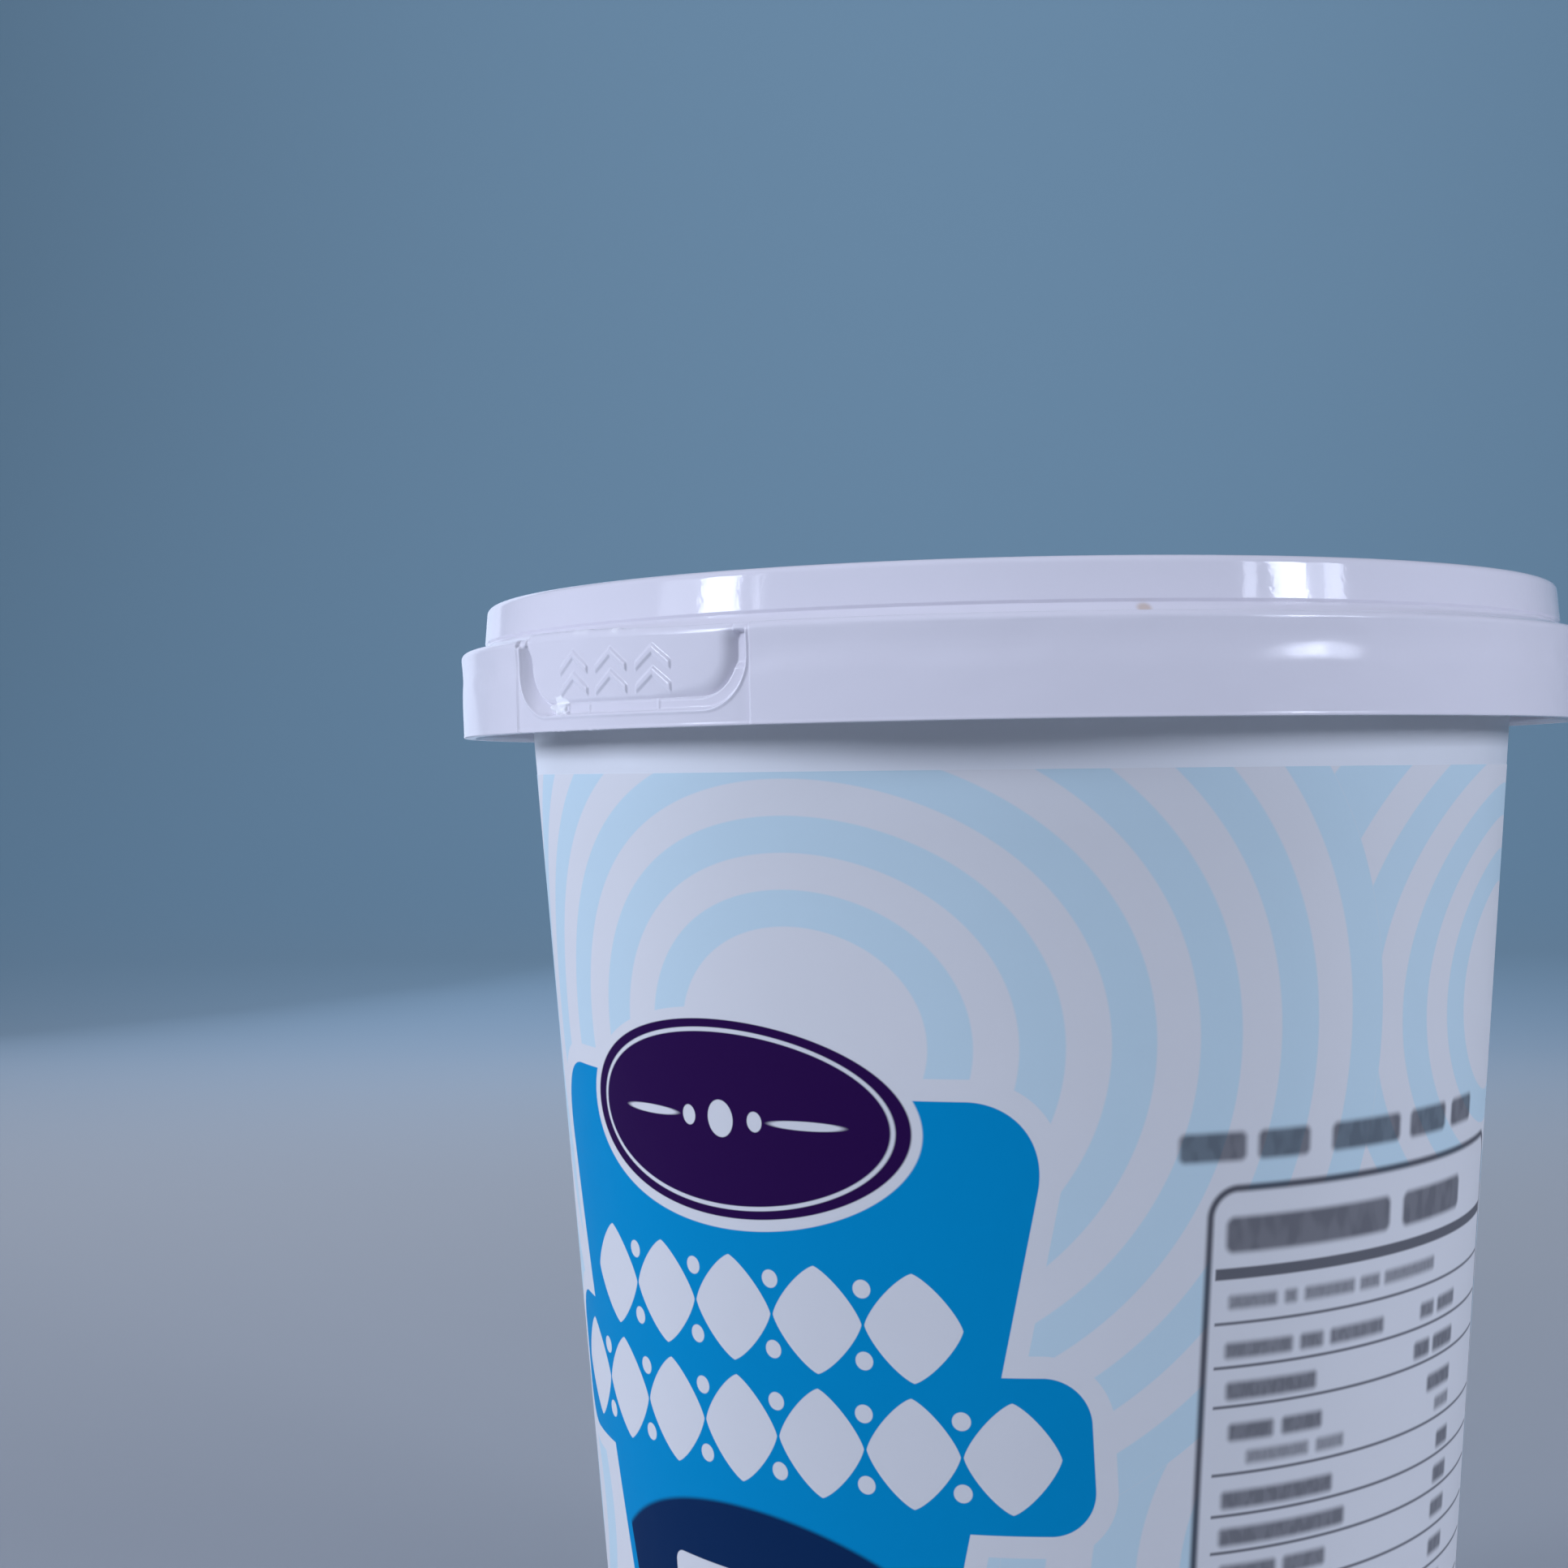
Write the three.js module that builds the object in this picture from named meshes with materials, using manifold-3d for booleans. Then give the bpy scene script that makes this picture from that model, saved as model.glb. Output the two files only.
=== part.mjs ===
// Plastic food cup with its press-fit lid, shut and full.
// Millimetres, +Z up. The origin is the middle of the base, so the cup stands on z = 0.
// An angle is 0 at the front (-Y) and grows towards +X.
import * as THREE from "three";
import { mergeVertices } from "three/addons/utils/BufferGeometryUtils.js";
import Module from "manifold-3d";

const wasm = await Module();
wasm.setup();

// Whole object
const totalHeight = 142;
const segments = 72; // flats round every turned form
const fitGap = 0.3; // clearance between the cup and the lid

// Cup: the wall is a cone that opens upwards
const cup = {
  baseRadius: 43,
  draft: 0.0735, // growth of the radius for each millimetre of height
  cornerRadius: 3,
  footWidth: 3.4,
  baseRecess: 2.2,
  recessSlope: 0.9, // width of the soft step up into the base's recess
  rimRadius: 55.9,
  rimWidth: 1.9,
  rimRound: 0.6,
  rimUnderSlope: 0.9, // rise of the rim's underside from the wall to its outer edge
  rimTop: 140.6,
  rimFoot: 134.6, // height where the wall turns out into the rim
  fillTop: 137.2, // top face inside the rim
};

// Lid: disc, raised ring, ledge and hanging band, all one moulding
const lid = {
  discTop: 138.6,
  discWall: 1.1,
  stepRadius: 43,
  stepHeight: 0.5,
  ringInnerRadius: 52.6,
  ringTopRadius: 57.15,
  ringFootRadius: 57.45,
  ringRound: 1,
  coveDrop: 3.65, // below the top of the ring, as are the next three
  slopeDrop: 4.1,
  ledgeDrop: 4.72,
  bandDrop: 13.75,
  coveRadius: 57.57,
  slopeRadius: 58.1,
  ledgeFall: 0.12,
  bandRadius: 60,
  bandFootRadius: 59.85,
  bandRound: 0.6,
  bandWall: 1.3,
  ledgeWall: 1.25,
  skirtOuterRadius: 57.4,
  skirtDrop: 9.5, // foot of the inner skirt that grips the cup's rim
  snapRadius: 55.5, // the small bead that grips under the rim
  snapHeight: 0.7,
  edgeBreak: 0.15, // softening of the band's sharp foot
};

// Tear tab in the band, seen square on: widths run along the band, drops down from the ring's top
const tab = {
  angle: -36.7,
  panelHalfWidth: 15.4,
  panelDepth: 0.45,
  slotHalfWidth: 14.75,
  slotTopDrop: 5.05,
  slotFootDrop: 12.35,
  slotCorner: 4.3,
  halfWidth: 13.7,
  footDrop: 11.25,
  corner: 3.8,
  depth: 0.75, // how far the tab's face lies behind the band's
  webDrop: 6.3, // foot of the web that shuts the right-hand slot's top
  bridgePlaces: [-6.5, -3.1, 6], // thin bridges from the tab's foot to the band, torn on opening
  bridgeWidth: 0.5,
  tornPlace: -8.6, // one bridge has torn already and hangs as a stub
  tornLength: 0.5,
  backPlaces: [-9.6, 9.2], // the wall that shows behind the slot under the tab
  backFootDrop: 12.9,
  backWall: 0.6,
  spanInset: 0.1, // how far web and bridges stay within the tab's two faces
  lap: 0.3, // what joins runs this far into its neighbour
};

// Raised chevrons on the tab, pointing the way that it lifts
const chevron = {
  places: [-6, -0.6, 4.8],
  halfWidth: 2,
  rise: 2,
  stroke: 0.5,
  topDrop: 6.3,
  height: 0.2,
};

const radians = THREE.MathUtils.degToRad;

function point(radius, height) {
  return new THREE.Vector2(radius, height);
}

// Points on an arc in the profile's plane, angles in degrees from +radius towards +height
function arc(radius, height, size, from, to, steps) {
  return Array.from({ length: steps + 1 }, (_, i) => {
    const a = radians(from + ((to - from) * i) / steps);
    return point(radius + size * Math.cos(a), height + size * Math.sin(a));
  });
}

// Closed solid from a three.js geometry: shared corners merged, collapsed triangles dropped
function toSolid(source) {
  const bare = source.index ? source.clone() : mergeVertices(source);
  bare.deleteAttribute("normal");
  bare.deleteAttribute("uv");
  const merged = mergeVertices(bare);
  const corners = merged.index.array;
  const kept = [];
  for (let i = 0; i < corners.length; i += 3) {
    const [a, b, c] = corners.subarray(i, i + 3);
    if (a !== b && b !== c && c !== a) kept.push(a, b, c);
  }
  return new wasm.Manifold(new wasm.Mesh({
    numProp: 3,
    vertProperties: new Float32Array(merged.attributes.position.array),
    triVerts: new Uint32Array(kept),
  }));
}

function toGeometry(solid) {
  const mesh = solid.getMesh();
  const geometry = new THREE.BufferGeometry();
  geometry.setAttribute("position", new THREE.BufferAttribute(new Float32Array(mesh.vertProperties), 3));
  geometry.setIndex(new THREE.BufferAttribute(new Uint32Array(mesh.triVerts), 1));
  geometry.computeVertexNormals();
  return geometry;
}

// The largest body alone: cutting can leave specks thinner than a hair beside it
function largestBody(solid) {
  return solid.decompose().reduce((most, body) => (body.volume() > most.volume() ? body : most));
}

// A profile that runs anticlockwise in (radius, height), turned once about Z
function turned(profile) {
  const geometry = new THREE.LatheGeometry(profile, segments);
  geometry.rotateX(Math.PI / 2);
  return toSolid(geometry);
}

function ring(innerRadius, outerRadius, low, high) {
  return turned([
    point(innerRadius, low), point(outerRadius, low), point(outerRadius, high),
    point(innerRadius, high), point(innerRadius, low),
  ]);
}

// An outline drawn square on to the tab, cut out of the round wall between two radii
function curvedPlate(shape, innerRadius, outerRadius) {
  const reach = lid.bandRadius + 5;
  const start = lid.bandRadius * 0.7;
  const depth = reach - start;
  const prism = new THREE.ExtrudeGeometry(shape, { depth, bevelEnabled: false, curveSegments: 8 });
  prism.translate(0, 0, start);
  const a = radians(tab.angle);
  const across = new THREE.Vector3(Math.cos(a), Math.sin(a), 0);
  const out = new THREE.Vector3(Math.sin(a), -Math.cos(a), 0);
  prism.applyMatrix4(new THREE.Matrix4().makeBasis(across, new THREE.Vector3(0, 0, 1), out));
  const low = totalHeight - lid.bandDrop - 1;
  return toSolid(prism).intersect(ring(innerRadius, outerRadius, low, totalHeight));
}

function rectangle(left, right, topDrop, footDrop) {
  return new THREE.Shape([
    point(left, totalHeight - footDrop), point(right, totalHeight - footDrop),
    point(right, totalHeight - topDrop), point(left, totalHeight - topDrop),
  ]);
}

// Straight top, straight sides and two round lower corners
function pouchOutline(halfWidth, topDrop, footDrop, corner) {
  const top = totalHeight - topDrop;
  const foot = totalHeight - footDrop;
  const shape = new THREE.Shape();
  shape.moveTo(-halfWidth, top);
  shape.lineTo(-halfWidth, foot + corner);
  shape.absarc(corner - halfWidth, foot + corner, corner, Math.PI, Math.PI * 1.5, false);
  shape.lineTo(halfWidth - corner, foot);
  shape.absarc(halfWidth - corner, foot + corner, corner, -Math.PI / 2, 0, false);
  shape.lineTo(halfWidth, top);
  shape.closePath();
  return shape;
}

function chevronOutline(place) {
  const top = totalHeight - chevron.topDrop;
  const arm = top - chevron.rise;
  const thick = chevron.stroke * Math.SQRT2;
  return new THREE.Shape([
    point(place - chevron.halfWidth, arm - thick), point(place, top - thick),
    point(place + chevron.halfWidth, arm - thick), point(place + chevron.halfWidth, arm),
    point(place, top), point(place - chevron.halfWidth, arm),
  ]);
}

// Cup: base with a foot ring, tapered wall, rim, and the filling's space closed as one solid
function makeCup() {
  const wallAt = (height) => cup.baseRadius + cup.draft * height;
  const lean = Math.atan(cup.draft); // the wall's angle from upright
  const corner = cup.cornerRadius;
  const footOuter = wallAt(corner * (1 - Math.sin(lean))) - corner * Math.cos(lean);
  const footInner = footOuter - cup.footWidth;
  const rimInner = cup.rimRadius - cup.rimWidth;
  const rimUnder = cup.rimFoot + cup.rimUnderSlope;
  const cornerSteps = 6;
  const rimSteps = 4;
  return turned([
    point(0, cup.baseRecess), point(footInner - cup.recessSlope, cup.baseRecess),
    point(footInner, cup.baseRecess / 4), point(footInner + cup.baseRecess / 4, 0),
    ...arc(footOuter, corner, corner, -90, -THREE.MathUtils.radToDeg(lean), cornerSteps),
    point(wallAt(cup.rimFoot), cup.rimFoot), point(wallAt(rimUnder) + cup.rimUnderSlope, rimUnder - 0.3),
    point(cup.rimRadius, rimUnder),
    ...arc(cup.rimRadius - cup.rimRound, cup.rimTop - cup.rimRound, cup.rimRound, 0, 90, rimSteps),
    point(rimInner, cup.rimTop), point(rimInner, cup.fillTop), point(0, cup.fillTop),
  ]);
}

// Lid blank: everything that is the same all the way round
function makeLidBlank() {
  const at = (drop) => totalHeight - drop;
  const discUnder = lid.discTop - lid.discWall;
  const channelInner = cup.rimRadius - cup.rimWidth - fitGap;
  const channelOuter = cup.rimRadius + fitGap;
  const channelTop = cup.rimTop + fitGap;
  const bandInner = lid.bandRadius - lid.bandWall;
  const ledgeUnder = at(lid.ledgeDrop + lid.ledgeWall);
  const skirtFoot = at(lid.skirtDrop);
  const snapTop = cup.rimFoot + 0.1;
  const bandTop = at(lid.ledgeDrop + lid.ledgeFall);
  const roundHeight = totalHeight - lid.ringRound;
  const roundSteps = 4;
  return turned([
    point(0, discUnder), point(channelInner, discUnder), point(channelInner, channelTop),
    point(channelOuter, channelTop), point(channelOuter, snapTop + lid.snapHeight),
    point(lid.snapRadius, snapTop), point(lid.snapRadius, snapTop - lid.snapHeight),
    point(channelOuter, skirtFoot + lid.edgeBreak),
    point(channelOuter + lid.edgeBreak, skirtFoot), point(lid.skirtOuterRadius, skirtFoot),
    point(lid.skirtOuterRadius, ledgeUnder), point(bandInner, ledgeUnder),
    point(bandInner, at(lid.bandDrop)), point(lid.bandFootRadius - lid.edgeBreak, at(lid.bandDrop)),
    point(lid.bandFootRadius, at(lid.bandDrop) + lid.edgeBreak),
    ...arc(lid.bandRadius - lid.bandRound, bandTop - lid.bandRound, lid.bandRound, 0, 84, roundSteps),
    point(lid.slopeRadius, at(lid.ledgeDrop)), point(lid.coveRadius, at(lid.slopeDrop)),
    point(lid.ringFootRadius, at(lid.coveDrop)),
    ...arc(lid.ringTopRadius - lid.ringRound, roundHeight, lid.ringRound, 0, 90, roundSteps),
    ...arc(lid.ringInnerRadius + lid.ringRound, roundHeight, lid.ringRound, 90, 180, roundSteps),
    point(lid.ringInnerRadius, lid.discTop + lid.stepHeight),
    point(lid.ringInnerRadius - lid.stepHeight, lid.discTop),
    point(lid.stepRadius + lid.stepHeight, lid.discTop), point(lid.stepRadius, lid.discTop + lid.stepHeight),
    point(0, lid.discTop + lid.stepHeight),
  ]);
}

// Lid: the blank with the sunk panel, the U-shaped slot that frees the tab, and what spans the slot
function makeLid() {
  const outside = lid.bandRadius + 2;
  const panelFace = lid.bandRadius - tab.panelDepth;
  const tabFace = lid.bandRadius - tab.depth;
  const wallInside = lid.bandRadius - lid.bandWall;
  const spanInside = wallInside + tab.spanInset;
  const spanOutside = tabFace - tab.spanInset;
  const half = tab.bridgeWidth / 2;
  const lap = tab.lap;
  const panel = rectangle(-tab.panelHalfWidth, tab.panelHalfWidth, lid.coveDrop, lid.bandDrop + lap);
  const slot = pouchOutline(tab.slotHalfWidth, tab.slotTopDrop, tab.slotFootDrop, tab.slotCorner);
  const face = pouchOutline(tab.halfWidth, tab.slotTopDrop - lap, tab.footDrop, tab.corner);

  const tabSpace = curvedPlate(face, lid.skirtOuterRadius, outside);
  let solid = makeLidBlank()
    .subtract(curvedPlate(panel, panelFace, outside))
    .subtract(curvedPlate(slot, lid.slopeRadius, outside).subtract(tabSpace))
    .subtract(curvedPlate(face, tabFace, outside));

  const web = rectangle(tab.halfWidth - lap, tab.slotHalfWidth + lap, tab.slotTopDrop - lap, tab.webDrop);
  const back = rectangle(tab.backPlaces[0], tab.backPlaces[1], lid.skirtDrop - 1, tab.backFootDrop);
  solid = solid
    .add(curvedPlate(web, wallInside, spanOutside))
    .add(curvedPlate(back, lid.skirtOuterRadius - lap, lid.skirtOuterRadius + tab.backWall));
  for (const place of tab.bridgePlaces) {
    const bridge = rectangle(place - half, place + half, tab.footDrop - lap, tab.slotFootDrop + lap);
    solid = solid.add(curvedPlate(bridge, spanInside, spanOutside));
  }
  const tornFoot = tab.footDrop + tab.tornLength;
  const torn = rectangle(tab.tornPlace - half, tab.tornPlace + half, tab.footDrop - lap, tornFoot);
  solid = solid.add(curvedPlate(torn, spanInside, spanOutside));
  for (const place of chevron.places) {
    solid = solid.add(curvedPlate(chevronOutline(place), tabFace - lap, tabFace + chevron.height));
  }
  return largestBody(solid);
}

function makeMesh(name, solid, material) {
  const mesh = new THREE.Mesh(toGeometry(solid), material);
  mesh.name = name;
  return mesh;
}

const cupPlastic = new THREE.MeshStandardMaterial({ color: 0xe9eef4, roughness: 0.3, metalness: 0 });
const lidPlastic = new THREE.MeshStandardMaterial({ color: 0xe4e6f2, roughness: 0.22, metalness: 0 });

const foodCup = new THREE.Group();
foodCup.add(makeMesh("cup", makeCup(), cupPlastic));
foodCup.add(makeMesh("lid", makeLid(), lidPlastic));

export default foodCup;
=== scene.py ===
import math
import bpy
import numpy as np
from mathutils import Matrix, Vector


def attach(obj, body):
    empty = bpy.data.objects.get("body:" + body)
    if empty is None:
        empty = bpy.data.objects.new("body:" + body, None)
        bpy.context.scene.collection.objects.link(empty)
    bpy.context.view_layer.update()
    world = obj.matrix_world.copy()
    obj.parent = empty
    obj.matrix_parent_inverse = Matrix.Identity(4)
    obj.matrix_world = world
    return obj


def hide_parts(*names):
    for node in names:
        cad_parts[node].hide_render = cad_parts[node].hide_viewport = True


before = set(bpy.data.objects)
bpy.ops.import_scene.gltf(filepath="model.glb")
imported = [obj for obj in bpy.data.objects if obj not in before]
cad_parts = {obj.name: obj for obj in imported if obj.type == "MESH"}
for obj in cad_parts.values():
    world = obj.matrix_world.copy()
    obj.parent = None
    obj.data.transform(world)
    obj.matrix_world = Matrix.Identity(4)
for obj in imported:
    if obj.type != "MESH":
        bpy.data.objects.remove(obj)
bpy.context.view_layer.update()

# Lengths are millimetres here and metres in the mesh. An angle is 0 at the front (-Y) and grows
# towards +X. A drop is the distance below the top of the lid's ring.
millimetre = 0.001
totalHeight = 142.0
photoPixels = 1932
print("frame loaded")


# Shapes as arrays

# An arc in the profile's plane: centre plus size times (cosine, sine) of an even run of angles
def arcPoints(radius, height, size, fromAngle, toAngle, steps):
    angles = np.radians(np.linspace(fromAngle, toAngle, steps + 1))
    return np.stack([radius + size * np.cos(angles), height + size * np.sin(angles)], axis=1)


longestRun = 0.1  # of the straight runs beside a rounded corner's arc


# A line of corners with each one rounded: the corner is pulled back along both sides by
# size times the tangent of half the turn, and an arc between two short straight runs replaces it
def roundedProfile(corners, sizes, steps=4):
    corners = np.array(corners, float)
    line = [corners[0]]
    for before, here, after, size in zip(corners, corners[1:], corners[2:], sizes[1:]):
        if size == 0:
            line.append(here)
            continue
        back = (before - here) / np.linalg.norm(before - here)
        ahead = (after - here) / np.linalg.norm(after - here)
        halfTurn = (math.pi - math.acos(np.clip(back @ ahead, -1, 1))) / 2
        pull = size * math.tan(halfTurn)
        middle = here + (back + ahead) / np.linalg.norm(back + ahead) * size / math.cos(halfTurn)
        start = here + back * pull - middle
        end = here + ahead * pull - middle
        turn = np.linspace(0, 1, steps + 1)[:, None]
        arc = start * np.sin((1 - turn) * 2 * halfTurn) + end * np.sin(turn * 2 * halfTurn)
        arc = middle + arc / math.sin(2 * halfTurn)
        run = min(size / 2, longestRun)
        line += [here + back * (pull + run), *arc, here + ahead * (pull + run)]
    line.append(corners[-1])
    return np.array(line)


# Each profile point (radius, height) goes round to (radius sin a, -radius cos a, height)
def turnedGrid(profile, angles):
    radius, height = profile[:, :1], profile[:, 1:]
    turn = np.radians(angles)[None, :]
    flat = np.zeros_like(turn)
    return np.stack([radius * np.sin(turn), -radius * np.cos(turn), height + flat], axis=-1)


samePlace = 1e-9


# Rows and columns of points become a mesh of quads; a row that is one point becomes a fan
def surfacePiece(name, grid, closedRound=True, closedProfile=False, flipped=False):
    rows, columns = grid.shape[:2]
    index = np.arange(rows * columns).reshape(rows, columns)
    for row in (0, rows - 1):
        if np.ptp(grid[row], axis=0).max() < samePlace:
            index[row] = index[row, 0]
    if closedRound:
        index = np.concatenate([index, index[:, :1]], axis=1)
    if closedProfile:
        index = np.concatenate([index, index[:1]], axis=0)
    faces = np.stack([index[:-1, :-1], index[:-1, 1:], index[1:, 1:], index[1:, :-1]], axis=-1)
    faces = faces.reshape(-1, 4)
    if flipped:
        faces = faces[:, ::-1]
    used, corners = np.unique(faces, return_inverse=True)
    faces = corners.reshape(-1, 4)
    whole = (faces != np.roll(faces, -1, axis=1)).all(axis=1)
    fans = faces[~whole]
    keep = fans != np.roll(fans, -1, axis=1)
    fans = fans[keep].reshape(-1, 3) if len(fans) else np.zeros((0, 3), int)
    mesh = bpy.data.meshes.new(name)
    points = grid.reshape(-1, 3)[used] * millimetre
    mesh.from_pydata(points.tolist(), [], faces[whole].tolist() + fans.tolist())
    mesh.shade_smooth()
    piece = bpy.data.objects.new(name, mesh)
    bpy.context.scene.collection.objects.link(piece)
    return piece, used


def placePiece(piece, node, material):
    piece.data.materials.append(material)
    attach(piece, "root")
    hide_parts(node)


# Waves that close on themselves round the wall: whole numbers of waves to a turn, each slanted
# and shifted by its own seeded draw, added up to about -1 to 1
def roundWaves(turn, drop, waveCounts, seed):
    steepest = 1.5  # radians of a wave for each millimetre down
    draw = np.random.default_rng(seed)
    total = 0 * turn + 0 * drop
    for count in waveCounts:
        slant, phase = draw.uniform(-steepest, steepest), draw.uniform(0, 2 * math.pi)
        total = total + np.sin(np.radians(turn) * count + slant * drop + phase)
    return total / math.sqrt(len(waveCounts) * 2)


# 0 below the start, 1 above the end, and an even S between them
def smoothStep(start, end, value):
    share = np.clip((value - start) / (end - start), 0, 1)
    return share * share * (3 - 2 * share)


# Waves of several lengths added up, each turned by its own seeded phase, from about -1 to 1
def gentleNoise(across, down, waveLength, seed):
    draw = np.random.default_rng(seed)
    total = np.zeros(np.broadcast(across, down).shape)
    waveCount = 9
    for _ in range(waveCount):
        heading, phase = draw.uniform(0, 2 * math.pi, 2)
        length = waveLength * draw.uniform(0.6, 1.6)
        along = across * math.cos(heading) + down * math.sin(heading)
        total += np.sin(2 * math.pi * along / length + phase)
    return total / math.sqrt(waveCount * 2)


# Node helpers

# A node's output that takes plain arithmetic: each operation adds its math node
class Signal:
    def __init__(self, node, output=0):
        self.node = node
        self.output = output

    def __add__(self, other):
        return calculate("ADD", self, other)

    def __sub__(self, other):
        return calculate("SUBTRACT", self, other)

    def __rsub__(self, other):
        return calculate("SUBTRACT", other, self)

    def __mul__(self, other):
        return calculate("MULTIPLY", self, other)

    def __truediv__(self, other):
        return calculate("DIVIDE", self, other)

    def __rtruediv__(self, other):
        return calculate("DIVIDE", other, self)

    def __pow__(self, other):
        return calculate("POWER", self, other)

    def __neg__(self):
        return self * -1.0

    def __abs__(self):
        return calculate("ABSOLUTE", self)


# An input takes a link from a signal, or holds a plain value
def feed(socket, value):
    if isinstance(value, Signal):
        socket.id_data.links.new(value.node.outputs[value.output], socket)
    else:
        socket.default_value = value


def feedAll(node, values):
    for label, value in values.items():
        feed(node.inputs[label], value)


# A math node in the tree of the first signal among its values
def calculate(operation, *values):
    tree = next(value.node.id_data for value in values if isinstance(value, Signal))
    node = tree.nodes.new("ShaderNodeMath")
    node.operation = operation
    feedAll(node, dict(enumerate(values)))
    return Signal(node)


# A signal moved from one range to another by an even S, held at its ends
def ranged(value, fromLow, fromHigh, toLow, toHigh):
    node = value.node.id_data.nodes.new("ShaderNodeMapRange")
    node.interpolation_type = "SMOOTHSTEP"
    feedAll(node, dict(enumerate((value, fromLow, fromHigh, toLow, toHigh))))
    return Signal(node)


def mixed(tree, share, first, second):
    node = tree.nodes.new("ShaderNodeMix")
    node.data_type = "RGBA"
    feedAll(node, {"Factor": share, "A": first, "B": second})
    return Signal(node, "Result")


def noiseValue(place, scale, detail=2.0):
    node = place.node.id_data.nodes.new("ShaderNodeTexNoise")
    feedAll(node, {"Vector": place, "Scale": scale, "Detail": detail})
    return Signal(node, "Fac")


def separated(place):
    node = place.node.id_data.nodes.new("ShaderNodeSeparateXYZ")
    feed(node.inputs[0], place)
    return [Signal(node, axis) for axis in range(3)]


# The labels of groups that carry more than a number
socketKinds = {"Place": "NodeSocketVector", "Tone": "NodeSocketColor", "Color": "NodeSocketColor"}


def newGroup(name, inputs, outputs):
    tree = bpy.data.node_groups.new(name, "ShaderNodeTree")
    for side, labels in (("INPUT", inputs), ("OUTPUT", outputs)):
        for label in labels:
            kind = socketKinds.get(label, "NodeSocketFloat")
            tree.interface.new_socket(label, in_out=side, socket_type=kind)
    source = tree.nodes.new("NodeGroupInput")
    result = tree.nodes.new("NodeGroupOutput")
    return tree, {label: Signal(source, label) for label in inputs}, result


def useGroup(tree, group, values):
    node = tree.nodes.new("ShaderNodeGroup")
    node.node_tree = group
    feedAll(node, values)
    return {output.name: Signal(node, output.name) for output in node.outputs}


def newMaterial(name):
    material = bpy.data.materials.new(name)
    material.use_nodes = True
    tree = material.node_tree
    place = Signal(tree.nodes.new("ShaderNodeTexCoord"), "Object")
    return material, tree, tree.nodes["Principled BSDF"], place


# Where a point lies on the round wall: angle in degrees, drop and radius in millimetres
def makeWallPlace():
    tree, given, made = newGroup("wallPlace", ["Place"], ["Angle", "Drop", "Radius"])
    x, y, z = separated(given["Place"])
    feedAll(made, {
        "Angle": calculate("ARCTAN2", x, -y) * (180 / math.pi),
        "Drop": totalHeight - z * (1 / millimetre),
        "Radius": calculate("SQRT", x ** 2.0 + y ** 2.0) * (1 / millimetre)})
    return tree


# Distance round the wall from a centre line, in millimetres, the short way round
def lengthRound(given):
    away = calculate("WRAP", given["Angle"] - given["Centre Angle"], 180.0, -180.0)
    return away * given["Radius"] * (math.pi / 180)


wallInputs = ["Angle", "Drop", "Radius", "Centre Angle", "Centre Drop"]


# 1 inside a box with rounded corners whose sides lean in by Taper for each millimetre down: the
# distance to the box less its corners, less the corner's radius, is below 0 inside
def makeBoxMask():
    tree, given, made = newGroup(
        "boxMask",
        [*wallInputs, "Half Width", "Half Height", "Corner", "Taper", "Softness"], ["Mask"])
    corner, soft = given["Corner"], given["Softness"]
    down = given["Drop"] - given["Centre Drop"]
    width = given["Half Width"] - down * given["Taper"]
    overX = abs(lengthRound(given)) - width + corner
    overY = abs(down) - given["Half Height"] + corner
    outX, outY = calculate("MAXIMUM", overX, 0.0), calculate("MAXIMUM", overY, 0.0)
    outside = calculate("SQRT", outX ** 2.0 + outY ** 2.0)
    inside = calculate("MINIMUM", calculate("MAXIMUM", overX, overY), 0.0)
    feedAll(made, {"Mask": ranged(outside + inside - corner, -soft, soft, 1.0, 0.0)})
    return tree


# 1 inside an oval: both distances in half-axes are raised to Power and added, and the root of
# that, less 1, is scaled by the smaller half-axis. 2 makes an ellipse and 1 a lozenge.
def makeOvalMask():
    tree, given, made = newGroup(
        "ovalMask", [*wallInputs, "Half Width", "Half Height", "Power", "Softness"], ["Mask"])
    power, soft = given["Power"], given["Softness"]
    across = abs(lengthRound(given) / given["Half Width"])
    down = abs((given["Drop"] - given["Centre Drop"]) / given["Half Height"])
    root = (across ** power + down ** power) ** (1.0 / power)
    away = (root - 1.0) * calculate("MINIMUM", given["Half Width"], given["Half Height"])
    feedAll(made, {"Mask": ranged(away, -soft, soft, 1.0, 0.0)})
    return tree


ringPrint = {
    "stretch": 1.216,  # the sets are wider than tall
    "bow": 0.058,  # how much a level line on the flat print bows on the wall
    "discRadius": 10.54,
    "step": 3.33,
    "softness": 0.10,
    "wideningPlace": 1.5,  # the last tinted ring is stretched this many steps inside the edge
    "discStep": -0.5,  # the disc counts as the middle of the white step before the first ring
}


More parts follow.
